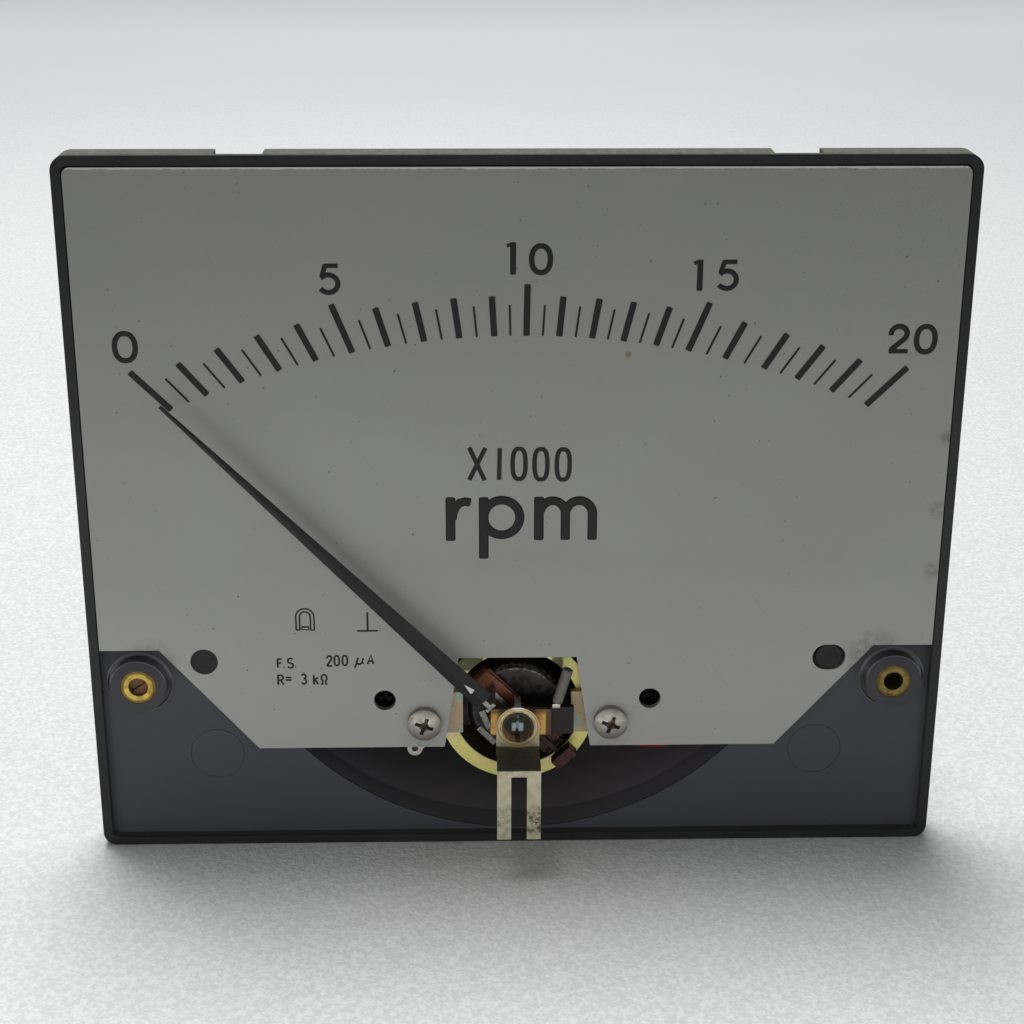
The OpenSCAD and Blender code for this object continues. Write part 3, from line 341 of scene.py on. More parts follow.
def black_moulding():
    f = Finish("black_moulding", (0.01, 0.01, 0.0105), Specular_IOR_Level=0.3)
    x, y, z = f.parts()
    aside = f.absolute(x)
    film = f.noise(14, detail=5)
    f.stain((0.016, 0.016, 0.017), f.mask(film, 0.38, 0.68, 0.75))
    f.stain((0.058, 0.06, 0.074), f.between(y, -4.2, -3.4, 0.2, 0.6, 0.9))
    around = f.reach(aside, z, BOSS_X, BOSS_Z)
    f.stain((0.042, 0.042, 0.047), f.mask(around, 5.4, 4.6), f.mask(y, -5.6, -5.2, 0.85))
    # Painted light: the moat walls round each boss are lightened, and their upper part much more,
    # to fill the shade that lies in the moat.
    side = f.between(around, 3.85, 3.95, 4.6, 4.75)
    f.stain((0.08, 0.08, 0.088), side, f.mask(y, -4.9, -4.75, 0.9))
    f.stain((0.27, 0.27, 0.29), side, f.mask(z, -18, -16.5, 0.9))
    # Painted light: the tray's inner side and bottom walls are lightened to stand in for the soft
    # light that hardly reaches them.
    left_right = f.between(aside, 58.4, 58.6, 59.2, 59.4)
    bottom = f.between(z, -41.9, -42.1, -42.8, -43.0)
    wall = f.maths("MAXIMUM", left_right, bottom)
    f.stain((0.06, 0.06, 0.066), wall, f.mask(y, -4.95, -4.8, 0.85))
    # Painted light: the inside of the bore is lightened to stand in for light that hardly reaches
    # it.
    f.stain((0.135, 0.13, 0.15), inside_bore(f), f.mask(y, -3.25, -3.05, 0.9))
    # Painted shadow: the tray under the dial's lower corners is darkened where the dial's edge
    # shades it.
    painted_shadow_under_dial = f.between(z, -17.8, -13.4, -12.9, -12.6, 0.75)
    f.stain((0.01, 0.01, 0.012), painted_shadow_under_dial, f.between(aside, 46.5, 47.5, 58.5, 58.7))
    # Painted shade: the peg tips, seen through the dial's holes, are darkened.
    painted_peg_shade = f.mask(f.reach(aside, z, PEG_X, PEG_Z), 2.1, 1.9)
    f.stain((0.0035, 0.0035, 0.004), painted_peg_shade, f.mask(y, -3.5, -3.7, 0.9))
    f.blotches(9, 0.52, 0.78, 0.25, (0.045, 0.045, 0.048),
               detail=6, rough=0.65, where=f.place(turn=(0, 0.4, 0), stretch=(1, 1, 3.5)))
    top = f.times(f.mask(z, 56.25, 56.45), f.mask(y, -4.95, -3.9))
    dust = f.mask(f.noise(1.1, detail=6, rough=0.7), 0.3, 0.6, 0.9)
    f.stain((0.125, 0.122, 0.098), top, dust)
    lint_and_ragged_highlight = f.mask(f.noise(0.7, detail=4, rough=0.75), 0.52, 0.66, 0.7)
    f.stain((0.2, 0.205, 0.15), top, lint_and_ragged_highlight)
    f.blotches(0.2, 0.73, 0.78, 0.5, (0.11, 0.105, 0.095), detail=1)
    f.uneven_gloss(film, 0.42, 0.62)
    f.raise_by(f.noise(0.35, detail=2), 0.012, 0.5)
    return f.done()


softened("base_case", 0.16, black_moulding(), "moulded_flange", angle=50)

# %% [markdown]
# The barrel is of the same moulding. Its inside is painted lighter, as painted fill light,
# dust lies on top of it, and fine rings run round its outside.

# %% Barrel
def barrel_moulding():
    f = Finish("barrel_moulding", (0.01, 0.01, 0.0105), roughness=0.46, Specular_IOR_Level=0.3)
    x, y, z = f.parts()
    film = f.noise(11, detail=4)
    f.stain((0.018, 0.018, 0.019), f.mask(film, 0.4, 0.7, 0.8))
    # Painted light: the inside of the barrel is lightened to stand in for light that hardly reaches
    # it.
    f.stain((0.22, 0.21, 0.245), inside_bore(f), f.mask(y, 36.4, 36.2, 0.9))
    dust = f.mask(f.noise(1.6, detail=6, rough=0.7), 0.44, 0.66, 0.55)
    f.stain((0.13, 0.118, 0.1), f.mask(z, 34, 43), dust)
    f.raise_by(f.waves("BANDS", "Y", 0.55, 0.4), 0.01, 0.35)
    f.raise_by(f.noise(0.4, detail=2), 0.012, 0.5)
    f.uneven_gloss(film, 0.4, 0.6)
    return f.done()


softened("barrel_shell", 0.05, barrel_moulding(), "moulded_barrel", angle=50)

# %% [markdown]
# The dial is sheet metal with a silver-grey paint, printed in black. Its life shows in dark
# specks, most of them at the upper right, in a few slanting scratches, and in grime where
# fingers took it off its pegs. Painted light makes the paint lighter towards the foot, and a
# painted highlight runs along the top edge. Each of these is one mask over the paint.

# %% Dial paint
def dial_paint():
    f = Finish("dial_paint", (0.235, 0.24, 0.222), metallic=0.15, roughness=0.46)
    f.here = f.place(centre=(0, DIAL_FACE_Y, FLANGE_Z))
    x, y, z = f.parts()
    cloud = f.noise(26)
    f.stain((0.262, 0.262, 0.24), f.mask(cloud, 0.42, 0.66, 0.5))
    # Painted light: the paint grows lighter towards the foot, as light from the floor in front
    # would make it.
    f.stain((0.35, 0.352, 0.33), f.mask(z, -6, -40))
    f.blotches(0.22, 0.55, 0.72, 0.22, (0.32, 0.325, 0.31), detail=1)
    f.blotches(1.6, 0.69, 0.73, 0.28, (0.14, 0.14, 0.132),
               rough=0.7, where=f.place(turn=(0, 0.95, 0), stretch=(0.07, 1, 3.2)))
    f.blotches(1.5, 0.72, 0.75, 0.12, (0.32, 0.32, 0.3),
               detail=2, where=f.place(turn=(0, 1.75, 0), stretch=(0.05, 1, 3.6)))
    crowd = f.times(f.mask(x, 8, 54), f.mask(z, 12, 44, 0.08))
    many = f.maths("ADD", f.noise(0.3, detail=1.5, rough=0.6), crowd)
    f.stain((0.08, 0.075, 0.066), f.mask(many, 0.735, 0.775, 0.7))
    f.blotches(0.7, 0.745, 0.775, 0.75, (0.06, 0.056, 0.05), detail=1)
    for spot_x, spot_z, size, dark in (
            (-51.5, -21.6, 4.8, 0.75), (50.6, -21.2, 5.2, 0.85), (-13.6, -35, 4, 0.35),
            (13.6, -35, 4, 0.35), (58, 11.6, 1.3, 0.7), (57.8, 1.3, 1.6, 0.8),
            (57.6, -7.6, 1.6, 0.7)):
        near = f.mask(f.reach(x, z, spot_x, spot_z), size, size * 0.25)
        patchy = f.mask(f.noise(1.3, detail=5, rough=0.7), 0.36, 0.58, dark)
        f.stain((0.085, 0.08, 0.068), near, patchy)
    f.stain((0.13, 0.085, 0.04), f.mask(f.reach(x, z, 14.54, 23.57), 0.55, 0.25, 0.8))
    # Painted highlight: a pale ragged line along the dial's top edge, where that edge catches the
    # light.
    lint_and_ragged_highlight = f.noise(1.6, detail=6, rough=0.75, where=f.place(stretch=(1, 1, 0.1)))
    edge = f.maths("ADD", z, f.times(lint_and_ragged_highlight, 0.7))
    f.stain((0.56, 0.56, 0.55), f.mask(edge, 48.58, 48.66, 0.9))
    f.uneven_gloss(cloud, 0.4, 0.54)
    f.raise_by(f.noise(0.5, detail=2), 0.006, 0.4)
    return f.done()


softened("dial_plate", 0.12, dial_paint(), "painted_dial", angle=60)

# %% [markdown]
# The scale is printed ink, a few hundredths of a millimetre thick. The solids of the marks
# have sharp corners, and the screen that printed the real ones rounded them. A copy of the
# marks gets its short upright edges bevelled: only edges that run along Y are chosen.

# %% Printed marks
def dial_ink():
    f = Finish("dial_ink", (0.009, 0.009, 0.009), roughness=0.6, Specular_IOR_Level=0.25)
    thin = f.noise(0.5, detail=4, rough=0.7)
    f.stain((0.017, 0.017, 0.016), f.mask(thin, 0.5, 0.75, 0.5))
    f.uneven_gloss(thin, 0.48, 0.62)
    return f.done()


INK = dial_ink()
marks = merged_copy("scale_marks")
with edited(marks):
    mesh = bmesh.from_edit_mesh(marks.data)
    bpy.ops.mesh.select_mode(type="EDGE")
    bpy.ops.mesh.select_all(action="DESELECT")
    for edge in mesh.edges:
        along = edge.verts[0].co - edge.verts[1].co
        edge.select = abs(along.x) < 1e-6 and abs(along.z) < 1e-6
    bmesh.update_edit_mesh(marks.data)
    bpy.ops.mesh.bevel(offset=0.17 * MM, segments=3, clamp_overlap=True)
settle(marks, "printed_marks", "meter_body", INK)
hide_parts("scale_marks")


# %% [markdown]
# The numerals and legends are strokes of even width, as a lettering guide gives, so each
# one is drawn by its centre line. A line of points becomes a round tube, the tube becomes
# a mesh, and the mesh is pressed flat on the dial. Places are in millimetres from the
# flange's centre, x to the right and z up.

# %% Strokes
INK_RELIEF = 0.07


def arc(cx, cz, rx, rz, start, stop, steps=20, power=2.0):
    """Points on an oval from one angle to another; a power above 2 squares its corners."""
    points = []
    for i in range(steps + 1):
        a = radians(start + (stop - start) * i / steps)
        c, s = cos(a), sin(a)
        points.append((cx + rx * abs(c) ** (2 / power) * (1 if c >= 0 else -1),
                       cz + rz * abs(s) ** (2 / power) * (1 if s >= 0 else -1)))
    return points


def tube(name, lines, radius, resolution):
    """Round tubes as one mesh. A line is its points in metres, the share of the radius at
    each of them, and whether it closes."""
    curve = bpy.data.curves.new(name, "CURVE")
    curve.dimensions = "3D"
    curve.bevel_depth = radius * MM
    curve.bevel_resolution = resolution
    curve.use_fill_caps = True
    for points, shares, closed in lines:
        spline = curve.splines.new("POLY")
        spline.points.add(len(points) - 1)
        for point, place, share in zip(spline.points, points, shares):
            point.co = (*place, 1)
            point.radius = share
        spline.use_cyclic_u = closed
    piece = bpy.data.objects.new(name, curve)
    bpy.context.scene.collection.objects.link(piece)
    only(piece)
    bpy.ops.object.convert(target="MESH")
    return bpy.context.object


def rounded_end(end, inner, width):
    """Two slimmer points past the end of a line that comes from inner."""
    far = sqrt((end[0] - inner[0]) ** 2 + (end[1] - inner[1]) ** 2)
    step = [(e - i) / far * width / 2 for e, i in zip(end, inner)]
    return [((end[0] + step[0] * d, end[1] + step[1] * d), width * slim)
            for d, slim in ((0.14, 0.88), (0.24, 0.6))]


def printed(name, strokes):
    """A stroke is its points and its width, and True at the end if it closes."""
    lines = []
    for points, width, *closed in strokes:
        path = [(point, width) for point in points]
        if not closed:
            path = (rounded_end(points[0], points[1], width)[::-1] + path
                    + rounded_end(points[-1], points[-2], width))
        lines.append(([(x * MM, 0, z * MM) for (x, z), _ in path], [w for _, w in path],
                      bool(closed)))
    piece = tube(name, lines, 0.5, 2)
    with edited(piece):
        bpy.ops.transform.resize(value=(1, INK_RELIEF, 1), center_override=(0, 0, 0))
        bpy.ops.transform.translate(value=(0, DIAL_FACE_Y * MM, FLANGE_Z * MM))
        bpy.ops.mesh.normals_make_consistent(inside=False)
    settle(piece, name, "meter_body", INK)


# %% Numerals of the scale
NUMERAL = 0.74


def zero(cx, cz, rx, rz):
    return [(arc(cx, cz, rx - NUMERAL / 2, rz - NUMERAL / 2, 0, 352.5, 47, 2.25), NUMERAL, True)]


def one(x, top, foot):
    return [([(x, top - 0.05), (x, foot + 0.05)], NUMERAL + 0.04),
            ([(x - 0.78, top - 0.46), (x - 0.45, top - 0.33), (x - 0.1, top - 0.3)], 0.52)]


def five(cx, cz):
    return [([(cx - 0.42, cz + 2.38), (cx + 1.2, cz + 2.38)], 0.62),
            ([(cx - 0.38, cz + 2.5), (cx - 0.86, cz + 0.95)], 0.66),
            (arc(cx - 0.02, cz, 1.24, 1.17, 138, -143, 24), 0.7)]


def two(cx, cz):
    return [(arc(cx, cz, 1.06, 1.0, 188, -38, 22) + [(cx - 0.95, cz - 2.2)], NUMERAL),
            ([(cx - 1.2, cz - 2.42), (cx + 1.24, cz - 2.42)], 0.62)]


numerals = (zero(-51.95, 24.85, 1.72, 2.21) + five(-24.9, 33.3)
            + one(-0.8, 38.7, 34.47) + zero(2.84, 36.46, 1.59, 2.14)
            + one(23.7, 36.33, 32.22) + five(27.28, 33.66)
            + two(50.52, 26.28) + zero(54.12, 25.5, 1.6, 2.11))
printed("scale_numerals", numerals)

# %% The legend under the scale
TALL = 0.63
tall_zeros = [(arc(cx, cz, 0.87, 2.17, 0, 352.5, 47, 2.7), TALL, True)
              for cx, cz in ((0.08, 8.3), (3.05, 8.23), (6.07, 8.18))]
printed("multiplier_legend", [
    ([(-6.64, 10.62), (-4.61, 6.02)], TALL), ([(-4.5, 10.56), (-6.66, 6.08)], TALL),
    ([(-2.53, 10.5), (-2.63, 6.1)], TALL)] + tall_zeros)

BOLD = 1.34
unit_strokes = [
    ([(-9.27, 3.4), (-9.27, -2.66)], BOLD),
    ([(-9.02, 0.4), (-8.92, 1.3), (-8.55, 2.15), (-7.95, 2.72), (-7.25, 2.92), (-6.62, 2.8)], 1.26),
    ([(-4.73, 3.38), (-4.73, -5.33)], BOLD),
    (arc(-2.26, 0.56, 2.47, 2.53, 0, 352.5, 47), 1.28, True),
    ([(2.82, 3.4), (2.82, -2.64)], BOLD),
    (arc(4.72, 1.02, 1.74, 1.94, 165, 0, 20) + [(6.46, -2.64)], 1.28),
    (arc(8.32, 1.02, 1.84, 1.94, 165, 0, 20) + [(10.16, -2.64)], 1.31)]
printed("unit_legend", unit_strokes)

# %% The two small signs and the plain ratings below them
LINE = 0.23
sign_strokes = [
    ([(-30.93, -16.02)] + arc(-29.67, -14.05, 1.26, 1.27, 180, 0) + [(-28.41, -16.02)], LINE),
    ([(-30.42, -16.02)] + arc(-29.67, -14.02, 0.75, 0.75, 180, 0) + [(-28.92, -16.02)], LINE),
    ([(-30.95, -16.02), (-30.4, -16.02)], LINE),
    ([(-28.94, -16.02), (-28.39, -16.02)], LINE),
    ([(-30.14, -15.97), (-30.14, -15.5), (-29.2, -15.5), (-29.2, -15.97)], LINE, True),
    ([(-30.1, -15.56), (-29.24, -15.56)], 0.26),
    ([(-20.98, -13.42), (-20.98, -16.12)], 0.29),
    ([(-22.42, -16.22), (-19.58, -16.22)], 0.28)]
printed("sign_strokes", sign_strokes)

FINE = 0.28
DOT = 0.3
fine_lines = [
    [(-33.72, -21.74), (-33.72, -20.42)], [(-33.72, -20.44), (-33.16, -20.44)],
    [(-33.7, -21.04), (-33.24, -21.04)],
    arc(-31.92, -20.72, 0.36, 0.36, 35, 245, 12) + arc(-31.92, -21.44, 0.37, 0.36, 65, -150, 12),
    arc(-26.46, -20.36, 0.32, 0.34, 185, -35, 12) + [(-26.8, -21.5)],
    [(-26.82, -21.56), (-26.08, -21.56)],
    [(-22.9, -21.84), (-22.42, -20.36)],
    arc(-22.28, -20.98, 0.36, 0.34, 200, 350, 10),
    [(-21.7, -20.42), (-21.88, -21.1), (-21.68, -21.24)],
    [(-21.12, -21.3), (-20.6, -19.92), (-20.32, -21.26)],
    [(-20.98, -20.88), (-20.44, -20.86)],
    [(-33.76, -24.4), (-33.76, -22.94)],
    [(-33.74, -22.95), (-33.45, -22.95)] + arc(-33.4, -23.32, 0.36, 0.37, 90, -90, 10)
    + [(-33.74, -23.69)],
    [(-33.4, -23.7), (-33.00, -24.4)],
    [(-32.66, -23.3), (-31.9, -23.3)], [(-32.66, -23.7), (-31.9, -23.7)],
    arc(-30.14, -23.14, 0.3, 0.33, 150, -90, 12),
    arc(-30.14, -23.9, 0.34, 0.4, 90, -150, 12),
    [(-28.72, -24.4), (-28.72, -22.95)], [(-28.66, -23.85), (-28.2, -23.32)],
    [(-28.52, -23.72), (-28.14, -24.4)],
    [(-27.74, -24.38), (-27.5, -24.36)] + arc(-27.29, -23.42, 0.38, 0.5, 235, -55, 16)
    + [(-27.08, -24.36), (-26.86, -24.38)]]
dots = [[(-32.88, -21.72), (-32.84, -21.72)], [(-31.22, -21.68), (-31.18, -21.68)]]
small_zeros = [arc(x, z, 0.34, 0.75, 0, 345, 23, 2.5)
               for x, z in ((-25.42, -20.75), (-24.3, -20.74))]
printed("plain_ratings", [(line, FINE) for line in fine_lines] + [(dot, DOT) for dot in dots]
        + [(oval, FINE, True) for oval in small_zeros])

# %% [markdown]
# Screws, inserts and tags are plated or bare metal. Bright plating is never even: it has
# a fine brushed grain, a brown film in the corners, and dirt packed in the recesses. One
# maker of finishes takes the metal's colour, its film and its roughness.

# %% Metals
def metal(name, colour, film, roughness, film_share, film_size=1.4, grain=0.004, metallic=1.0):
    f = Finish(name, colour, metallic, roughness)
    blotch = f.noise(film_size, detail=5, rough=0.65)
    f.stain(film, f.mask(blotch, 0.42, 0.66, film_share))
    fine = f.noise(0.16, detail=2)
    f.stain(tuple(c * 0.55 for c in film), f.mask(fine, 0.6, 0.75, film_share * 0.7))
    f.uneven_gloss(blotch, roughness * 0.8, min(roughness * 1.7, 0.9))
    f.raise_by(fine, grain, 0.5)
    return f


def packed_dirt(f, centre_x, centre_z, radius, from_y, to_y, colour):
    """Brown dirt inside a recess: near the screw's middle and below its rim."""
    x, y, z = f.parts()
    inside = f.mask(f.reach(f.absolute(x), z, centre_x, centre_z), radius, radius * 0.85)
    dirt = f.times(inside, f.mask(y, from_y, to_y, 0.92))
    f.stain(colour, dirt)
    f.link(f.maths("SUBTRACT", 1.0, dirt), f.shader.inputs["Metallic"])


DIAL_SCREW_X, DIAL_SCREW_Z = 13.25, -24
SCREW_FACE_Y = -6.35
screw_metal = metal("nickel_screw", (0.4, 0.38, 0.345), (0.27, 0.225, 0.165), 0.38, 0.55, 1.1)
packed_dirt(screw_metal, DIAL_SCREW_X, DIAL_SCREW_Z, 1.5, -6.62, -6.42, (0.17, 0.115, 0.062))
dial_screws = softened("dial_screws", 0.14, screw_metal.done(), "dial_fixing_screws",
                       segments=3, angle=30)
for x in (-DIAL_SCREW_X, DIAL_SCREW_X):
    bpy.ops.mesh.primitive_cone_add(
        vertices=24, radius1=0.3 * MM, radius2=0.78 * MM, depth=1.3 * MM,
        location=(x * MM, SCREW_FACE_Y * MM, DIAL_SCREW_Z * MM), rotation=(pi / 2, 0, 0))
    cut_by(dial_screws, bpy.context.object, "DIFFERENCE")
smooth_by_angle(dial_screws)


def insert_brass():
    f = metal("insert_brass", (0.56, 0.42, 0.1), (0.26, 0.17, 0.05), 0.42, 0.75, 0.9)
    x, y, z = f.parts()
    around = f.reach(f.absolute(x), z, BOSS_X, BOSS_Z)
    f.stain((0.13, 0.075, 0.025), f.mask(around, 1.95, 2.15, 0.85))
    # Painted shade: the right-hand insert is darker than the left one.
    f.stain((0.085, 0.064, 0.03), f.mask(x, 0, 1, 0.72))
    return f.done()


softened("cover_inserts", 0.12, insert_brass(), "threaded_inserts")


def rusty_stub():
    f = Finish("brown_steel", (0.115, 0.05, 0.022), metallic=0.35, roughness=0.62)
    flake = f.noise(0.35, detail=5, rough=0.7)
    f.stain((0.2, 0.085, 0.03), f.mask(flake, 0.45, 0.62, 0.8))
    f.blotches(0.8, 0.52, 0.62, 0.7, (0.035, 0.02, 0.014))
    x, y, z = f.parts()
    # Painted highlight: the deep part of the slot is paler, where light catches it.
    f.stain((0.3, 0.2, 0.13), f.mask(y, -4.3, -4.15, 0.8))
    f.raise_by(flake, 0.05, 0.8)
    return f.done()


softened("insert_screw", 0.06, rusty_stub(), "broken_screw_stub")


# %% [markdown]
# The yoke ring and the frame plates are steel with a yellow chromate. That film is thinner
# than a wavelength in places, so it shifts from straw to rose and green in broad patches.
# Three noises of different sizes lay those tints over a straw base.

# %% Chromate
def chromate(name, straw, rose, green, stain_colour, shadowed=False):
    f = Finish(name, straw, metallic=0.4, roughness=0.3)
    f.blotches(3.4, 0.46, 0.62, 0.85, rose, detail=2)
    f.blotches(2.6, 0.52, 0.66, 0.8, green, detail=2, where=f.place(centre=(7, 0, 3)))
    rub = f.noise(1.2, detail=4, rough=0.7, where=f.place(turn=(0, 0.5, 0), stretch=(1, 1, 4)))
    f.stain(stain_colour, f.mask(rub, 0.56, 0.74, 0.4))
    if shadowed:
        x, y, z = f.parts(f.place(centre=(0, 0, PIVOT_Z)))
        f.stain((0.02, 0.018, 0.02), f.mask(f.reach(x, z), 9.16, 9.04, 0.93))
        f.stain((0.05, 0.055, 0.036), f.mask(z, 5.8, 6.2), f.mask(x, -4.7, -5.0, 0.9))
        f.stain((0.06, 0.045, 0.036), f.between(x, 4.8, 5.2, 6.4, 6.8), f.mask(z, 6.2, 6.6, 0.85))
    f.uneven_gloss(rub, 0.24, 0.42)
    f.raise_by(f.noise(0.3, detail=2), 0.004, 0.5)
    return f.done()


YELLOW = chromate("yellow_chromate", (0.84, 0.78, 0.26), (0.82, 0.68, 0.36), (0.72, 0.8, 0.28),
                  (0.48, 0.42, 0.15), shadowed=True)
softened("yoke_ring", 0.18, YELLOW, "chromated_ring")
TAN = chromate("tan_chromate", (0.46, 0.38, 0.22), (0.46, 0.34, 0.23), (0.25, 0.42, 0.38),
               (0.2, 0.16, 0.1))
softened("frame_plates", 0.12, TAN, "chromated_plates")


def dark_magnet():
    f = Finish("magnet_alloy", (0.03, 0.028, 0.027), metallic=0.6, roughness=0.3)
    cast = f.noise(0.9, detail=4)
    f.stain((0.06, 0.055, 0.05), f.mask(cast, 0.45, 0.65, 0.7))
    at_pivot = f.place(centre=(0, 0, PIVOT_Z))
    f.raise_by(f.waves("RINGS", "Y", 1.2, 0.8, at_pivot), 0.006, 0.5)
    x, y, z = f.parts(at_pivot)
    # Painted highlight: pale patches along the upper rim of the magnet stand for its glint.
    rim = f.times(f.mask(f.reach(x, z), 6.0, 6.3), f.mask(z, 2.5, 4.5))
    wear_and_glint = f.mask(f.noise(0.6, detail=2), 0.44, 0.6, 0.9)
    f.stain((0.17, 0.165, 0.15), rim, wear_and_glint)
    f.uneven_gloss(cast, 0.22, 0.4)
    return f.done()


softened("core_magnet", 0.1, dark_magnet(), "ground_magnet")

# %% Bridges, bush, jewel screws and the zero adjuster
def brown_paint():
    f = Finish("bridge_brown", (0.021, 0.013, 0.012), roughness=0.46, Specular_IOR_Level=0.25)
    f.blotches(1.0, 0.45, 0.65, 0.8, (0.03, 0.017, 0.014), detail=4)
    f.blotches(0.25, 0.64, 0.74, 0.4, (0.09, 0.055, 0.038))
    f.raise_by(f.noise(0.3), 0.008, 0.6)
    return f.done()


BROWN = brown_paint()
softened("front_bridge", 0.1, BROWN, "front_bridge_plate")
softened("rear_bridge", 0.12, BROWN, "rear_bridge_plate")
AMBER = metal("amber_brass", (0.56, 0.32, 0.08), (0.32, 0.14, 0.032), 0.3, 0.75, 0.7).done()


def bush_brass():
    """Amber brass whose lip, in front of the adjuster, has gone dark."""
    f = metal("bush_brass", (0.78, 0.46, 0.12), (0.4, 0.18, 0.045), 0.3, 0.75, 0.7, metallic=0.5)
    x, y, z = f.parts()
    f.stain((0.085, 0.055, 0.028), f.mask(y, -7.04, -7.12, 0.85))
    shade = f.maths("MAXIMUM", f.mask(x, 0.4, 0.9, 0.8), f.mask(z, -24.2, -23.2, 0.95))
    f.stain((0.035, 0.028, 0.02), shade, f.mask(y, -5.9, -6.2))
    brown = f.maths("MAXIMUM", f.mask(x, 3.9, 4.1, 0.9), f.mask(z, -23.0, -22.4, 0.8))
    f.stain((0.045, 0.026, 0.022), brown, f.mask(y, -6.2, -5.9))
    f.stain((0.03, 0.02, 0.014), f.mask(f.absolute(x), 0.42, 0.34, 0.85))
    return f.done()


def dark_screw():
    """Blued steel that is nearly black above and pale blue where the light falls, low down."""
    f = metal("dark_steel", (0.05, 0.054, 0.044), (0.022, 0.026, 0.021), 0.16, 0.6, 0.8,
              metallic=0.25)
    x, y, z = f.parts()
    low = f.between(z, -23.8, -24.1, -25.0, -25.3)
    f.stain((0.52, 0.68, 0.71), low, f.mask(f.absolute(x), 0.9, 0.7))
    return f.done()


softened("bridge_bush", 0.04, bush_brass(), "brass_bush", segments=3)
softened("front_jewel_screw", 0.06, dark_screw(), "slotted_jewel_screw")
TAB_HOLE_Z = -20.75


def cream_plating():
    f = metal("plated_brass", (0.52, 0.48, 0.35), (0.35, 0.31, 0.2), 0.4, 0.55, 1.3, 0.008)
    x, y, z = f.parts()
    low = f.between(z, -32.4, -34.0, -35.8, -37.4)
    grime = f.noise(0.55, detail=5, rough=0.72)
    right = f.times(f.mask(x, 0.5, 1.4), f.mask(grime, 0.4, 0.6))
    amount = f.maths("ADD", f.mask(grime, 0.5, 0.62, 0.75), right)
    f.stain((0.085, 0.072, 0.048), low, amount)
    # Painted reflection: the top of the shelf is darkened, as it mirrors the dark movement above
    # it.
    shelf_reflection = f.between(y, -7.1, -7.4, -14.25, -14.55)
    f.stain((0.088, 0.082, 0.072), shelf_reflection, f.mask(z, -27.3, -27.12, 0.94))
    f.blotches(0.2, 0.68, 0.74, 0.7, (0.14, 0.12, 0.08), detail=1)
    ring = f.reach(x, z, 0, PIVOT_Z)
    face = f.mask(y, -7.56, -7.52)
    f.stain((0.7, 0.54, 0.28), face, f.mask(ring, 3.3, 2.9, 0.55))
    f.stain((0.26, 0.17, 0.055), face, f.between(ring, 2.74, 2.8, 2.9, 2.96, 0.75))
    # Painted highlight: a near-white inner edge of the ring.
    f.stain((0.85, 0.8, 0.66), f.mask(ring, 2.42, 2.36), f.mask(y, -7.3, -7.5, 0.7))
    groove = f.between(ring, 2.34, 2.4, 2.46, 2.52)
    f.stain((0.15, 0.115, 0.06), groove, f.mask(grime, 0.36, 0.56, 0.8))
    f.stain((0.8, 0.8, 0.78), f.mask(z, -21.3, -21.1), f.mask(f.absolute(x), 0.9, 0.8))
    # Painted shade: a near-black disc at the tab's hole.
    f.stain((0.02, 0.02, 0.02), f.mask(f.reach(x, z, 0, TAB_HOLE_Z), 0.22, 0.16, 0.95))
    return f.done()


softened("zero_adjuster", 0.07, cream_plating(), "bent_zero_adjuster", segments=3)

# %% Stop wire, its sleeve, the friction sleeve and the springs
TINNED = metal("tinned_brass", (0.5, 0.47, 0.41), (0.32, 0.28, 0.21), 0.34, 0.5).done()
softened("stop_wire", 0.06, TINNED, "tinned_stop_wire")


def woven_sleeving():
    f = Finish("grey_sleeving", (0.135, 0.125, 0.105), roughness=0.6)
    f.here = f.place(centre=(5.5, -5, -21.6), turn=(0, radians(-16.3), 0))
    braid = f.waves("BANDS", "Z", 0.9, 1.5)
    f.stain((0.2, 0.19, 0.165), f.mask(braid, 0.3, 0.8, 0.25))
    f.blotches(0.9, 0.48, 0.64, 0.5, (0.08, 0.072, 0.06), detail=4)
    f.raise_by(braid, 0.01, 0.5)
    return f.done()


softened("stop_sleeve", 0.12, woven_sleeving(), "sleeving_on_stop", segments=3)
BRONZE = metal("spring_bronze", (0.62, 0.36, 0.12), (0.42, 0.22, 0.07), 0.28, 0.4, 0.6).done()
for node in ("friction_sleeve", "front_hairspring", "rear_hairspring"):
    dress(node, BRONZE)
softened("earth_tag", 0.06, TINNED, "earth_solder_tag")

# %% [markdown]
# The moving coil is fine lacquered copper wire, wound side by side round an aluminium
# frame. The solid shows a plain core with a few turns. Here the outer layer is wound in
# full: one unbroken wire that steps sideways by its own thickness each time round.

# %% Coil winding
HALF_X = 8.3
HALF_Y = 8.45
MIDDLE_Y = 6.0
WIRE = 0.2
WINDING_W = 3.4
CORNER = 1.1


def coil_space(px, py, pz):
    """From the coil's own plane, px along the pointer and pz across, to the meter's frame."""
    c, s = cos(POINTER_DIRECTION), sin(POINTER_DIRECTION)
    return Vector((px * c - pz * s, py, px * s + pz * c + PIVOT_Z)) * MM


def rounded_loop(half_x, half_y, corner):
    """Points once round a rectangle with round corners."""
    side_steps, corner_steps = 3, 5
    points = []
    for quarter, (sx, sy) in enumerate(((1, 1), (-1, 1), (-1, -1), (1, -1))):
        cx, cy = sx * (half_x - corner), sy * (half_y - corner)
        for i in range(corner_steps + 1):
            a = pi / 2 * (quarter + i / corner_steps)
            points.append((cx + corner * cos(a), cy + corner * sin(a)))
    full = []
    for i, (ax, ay) in enumerate(points):
        bx, by = points[(i + 1) % len(points)]
        full.append((ax, ay))
        if sqrt((ax - bx) ** 2 + (ay - by) ** 2) > 2:
            full += [(ax + (bx - ax) * k / side_steps, ay + (by - ay) * k / side_steps)
                     for k in range(1, side_steps)]
    return full


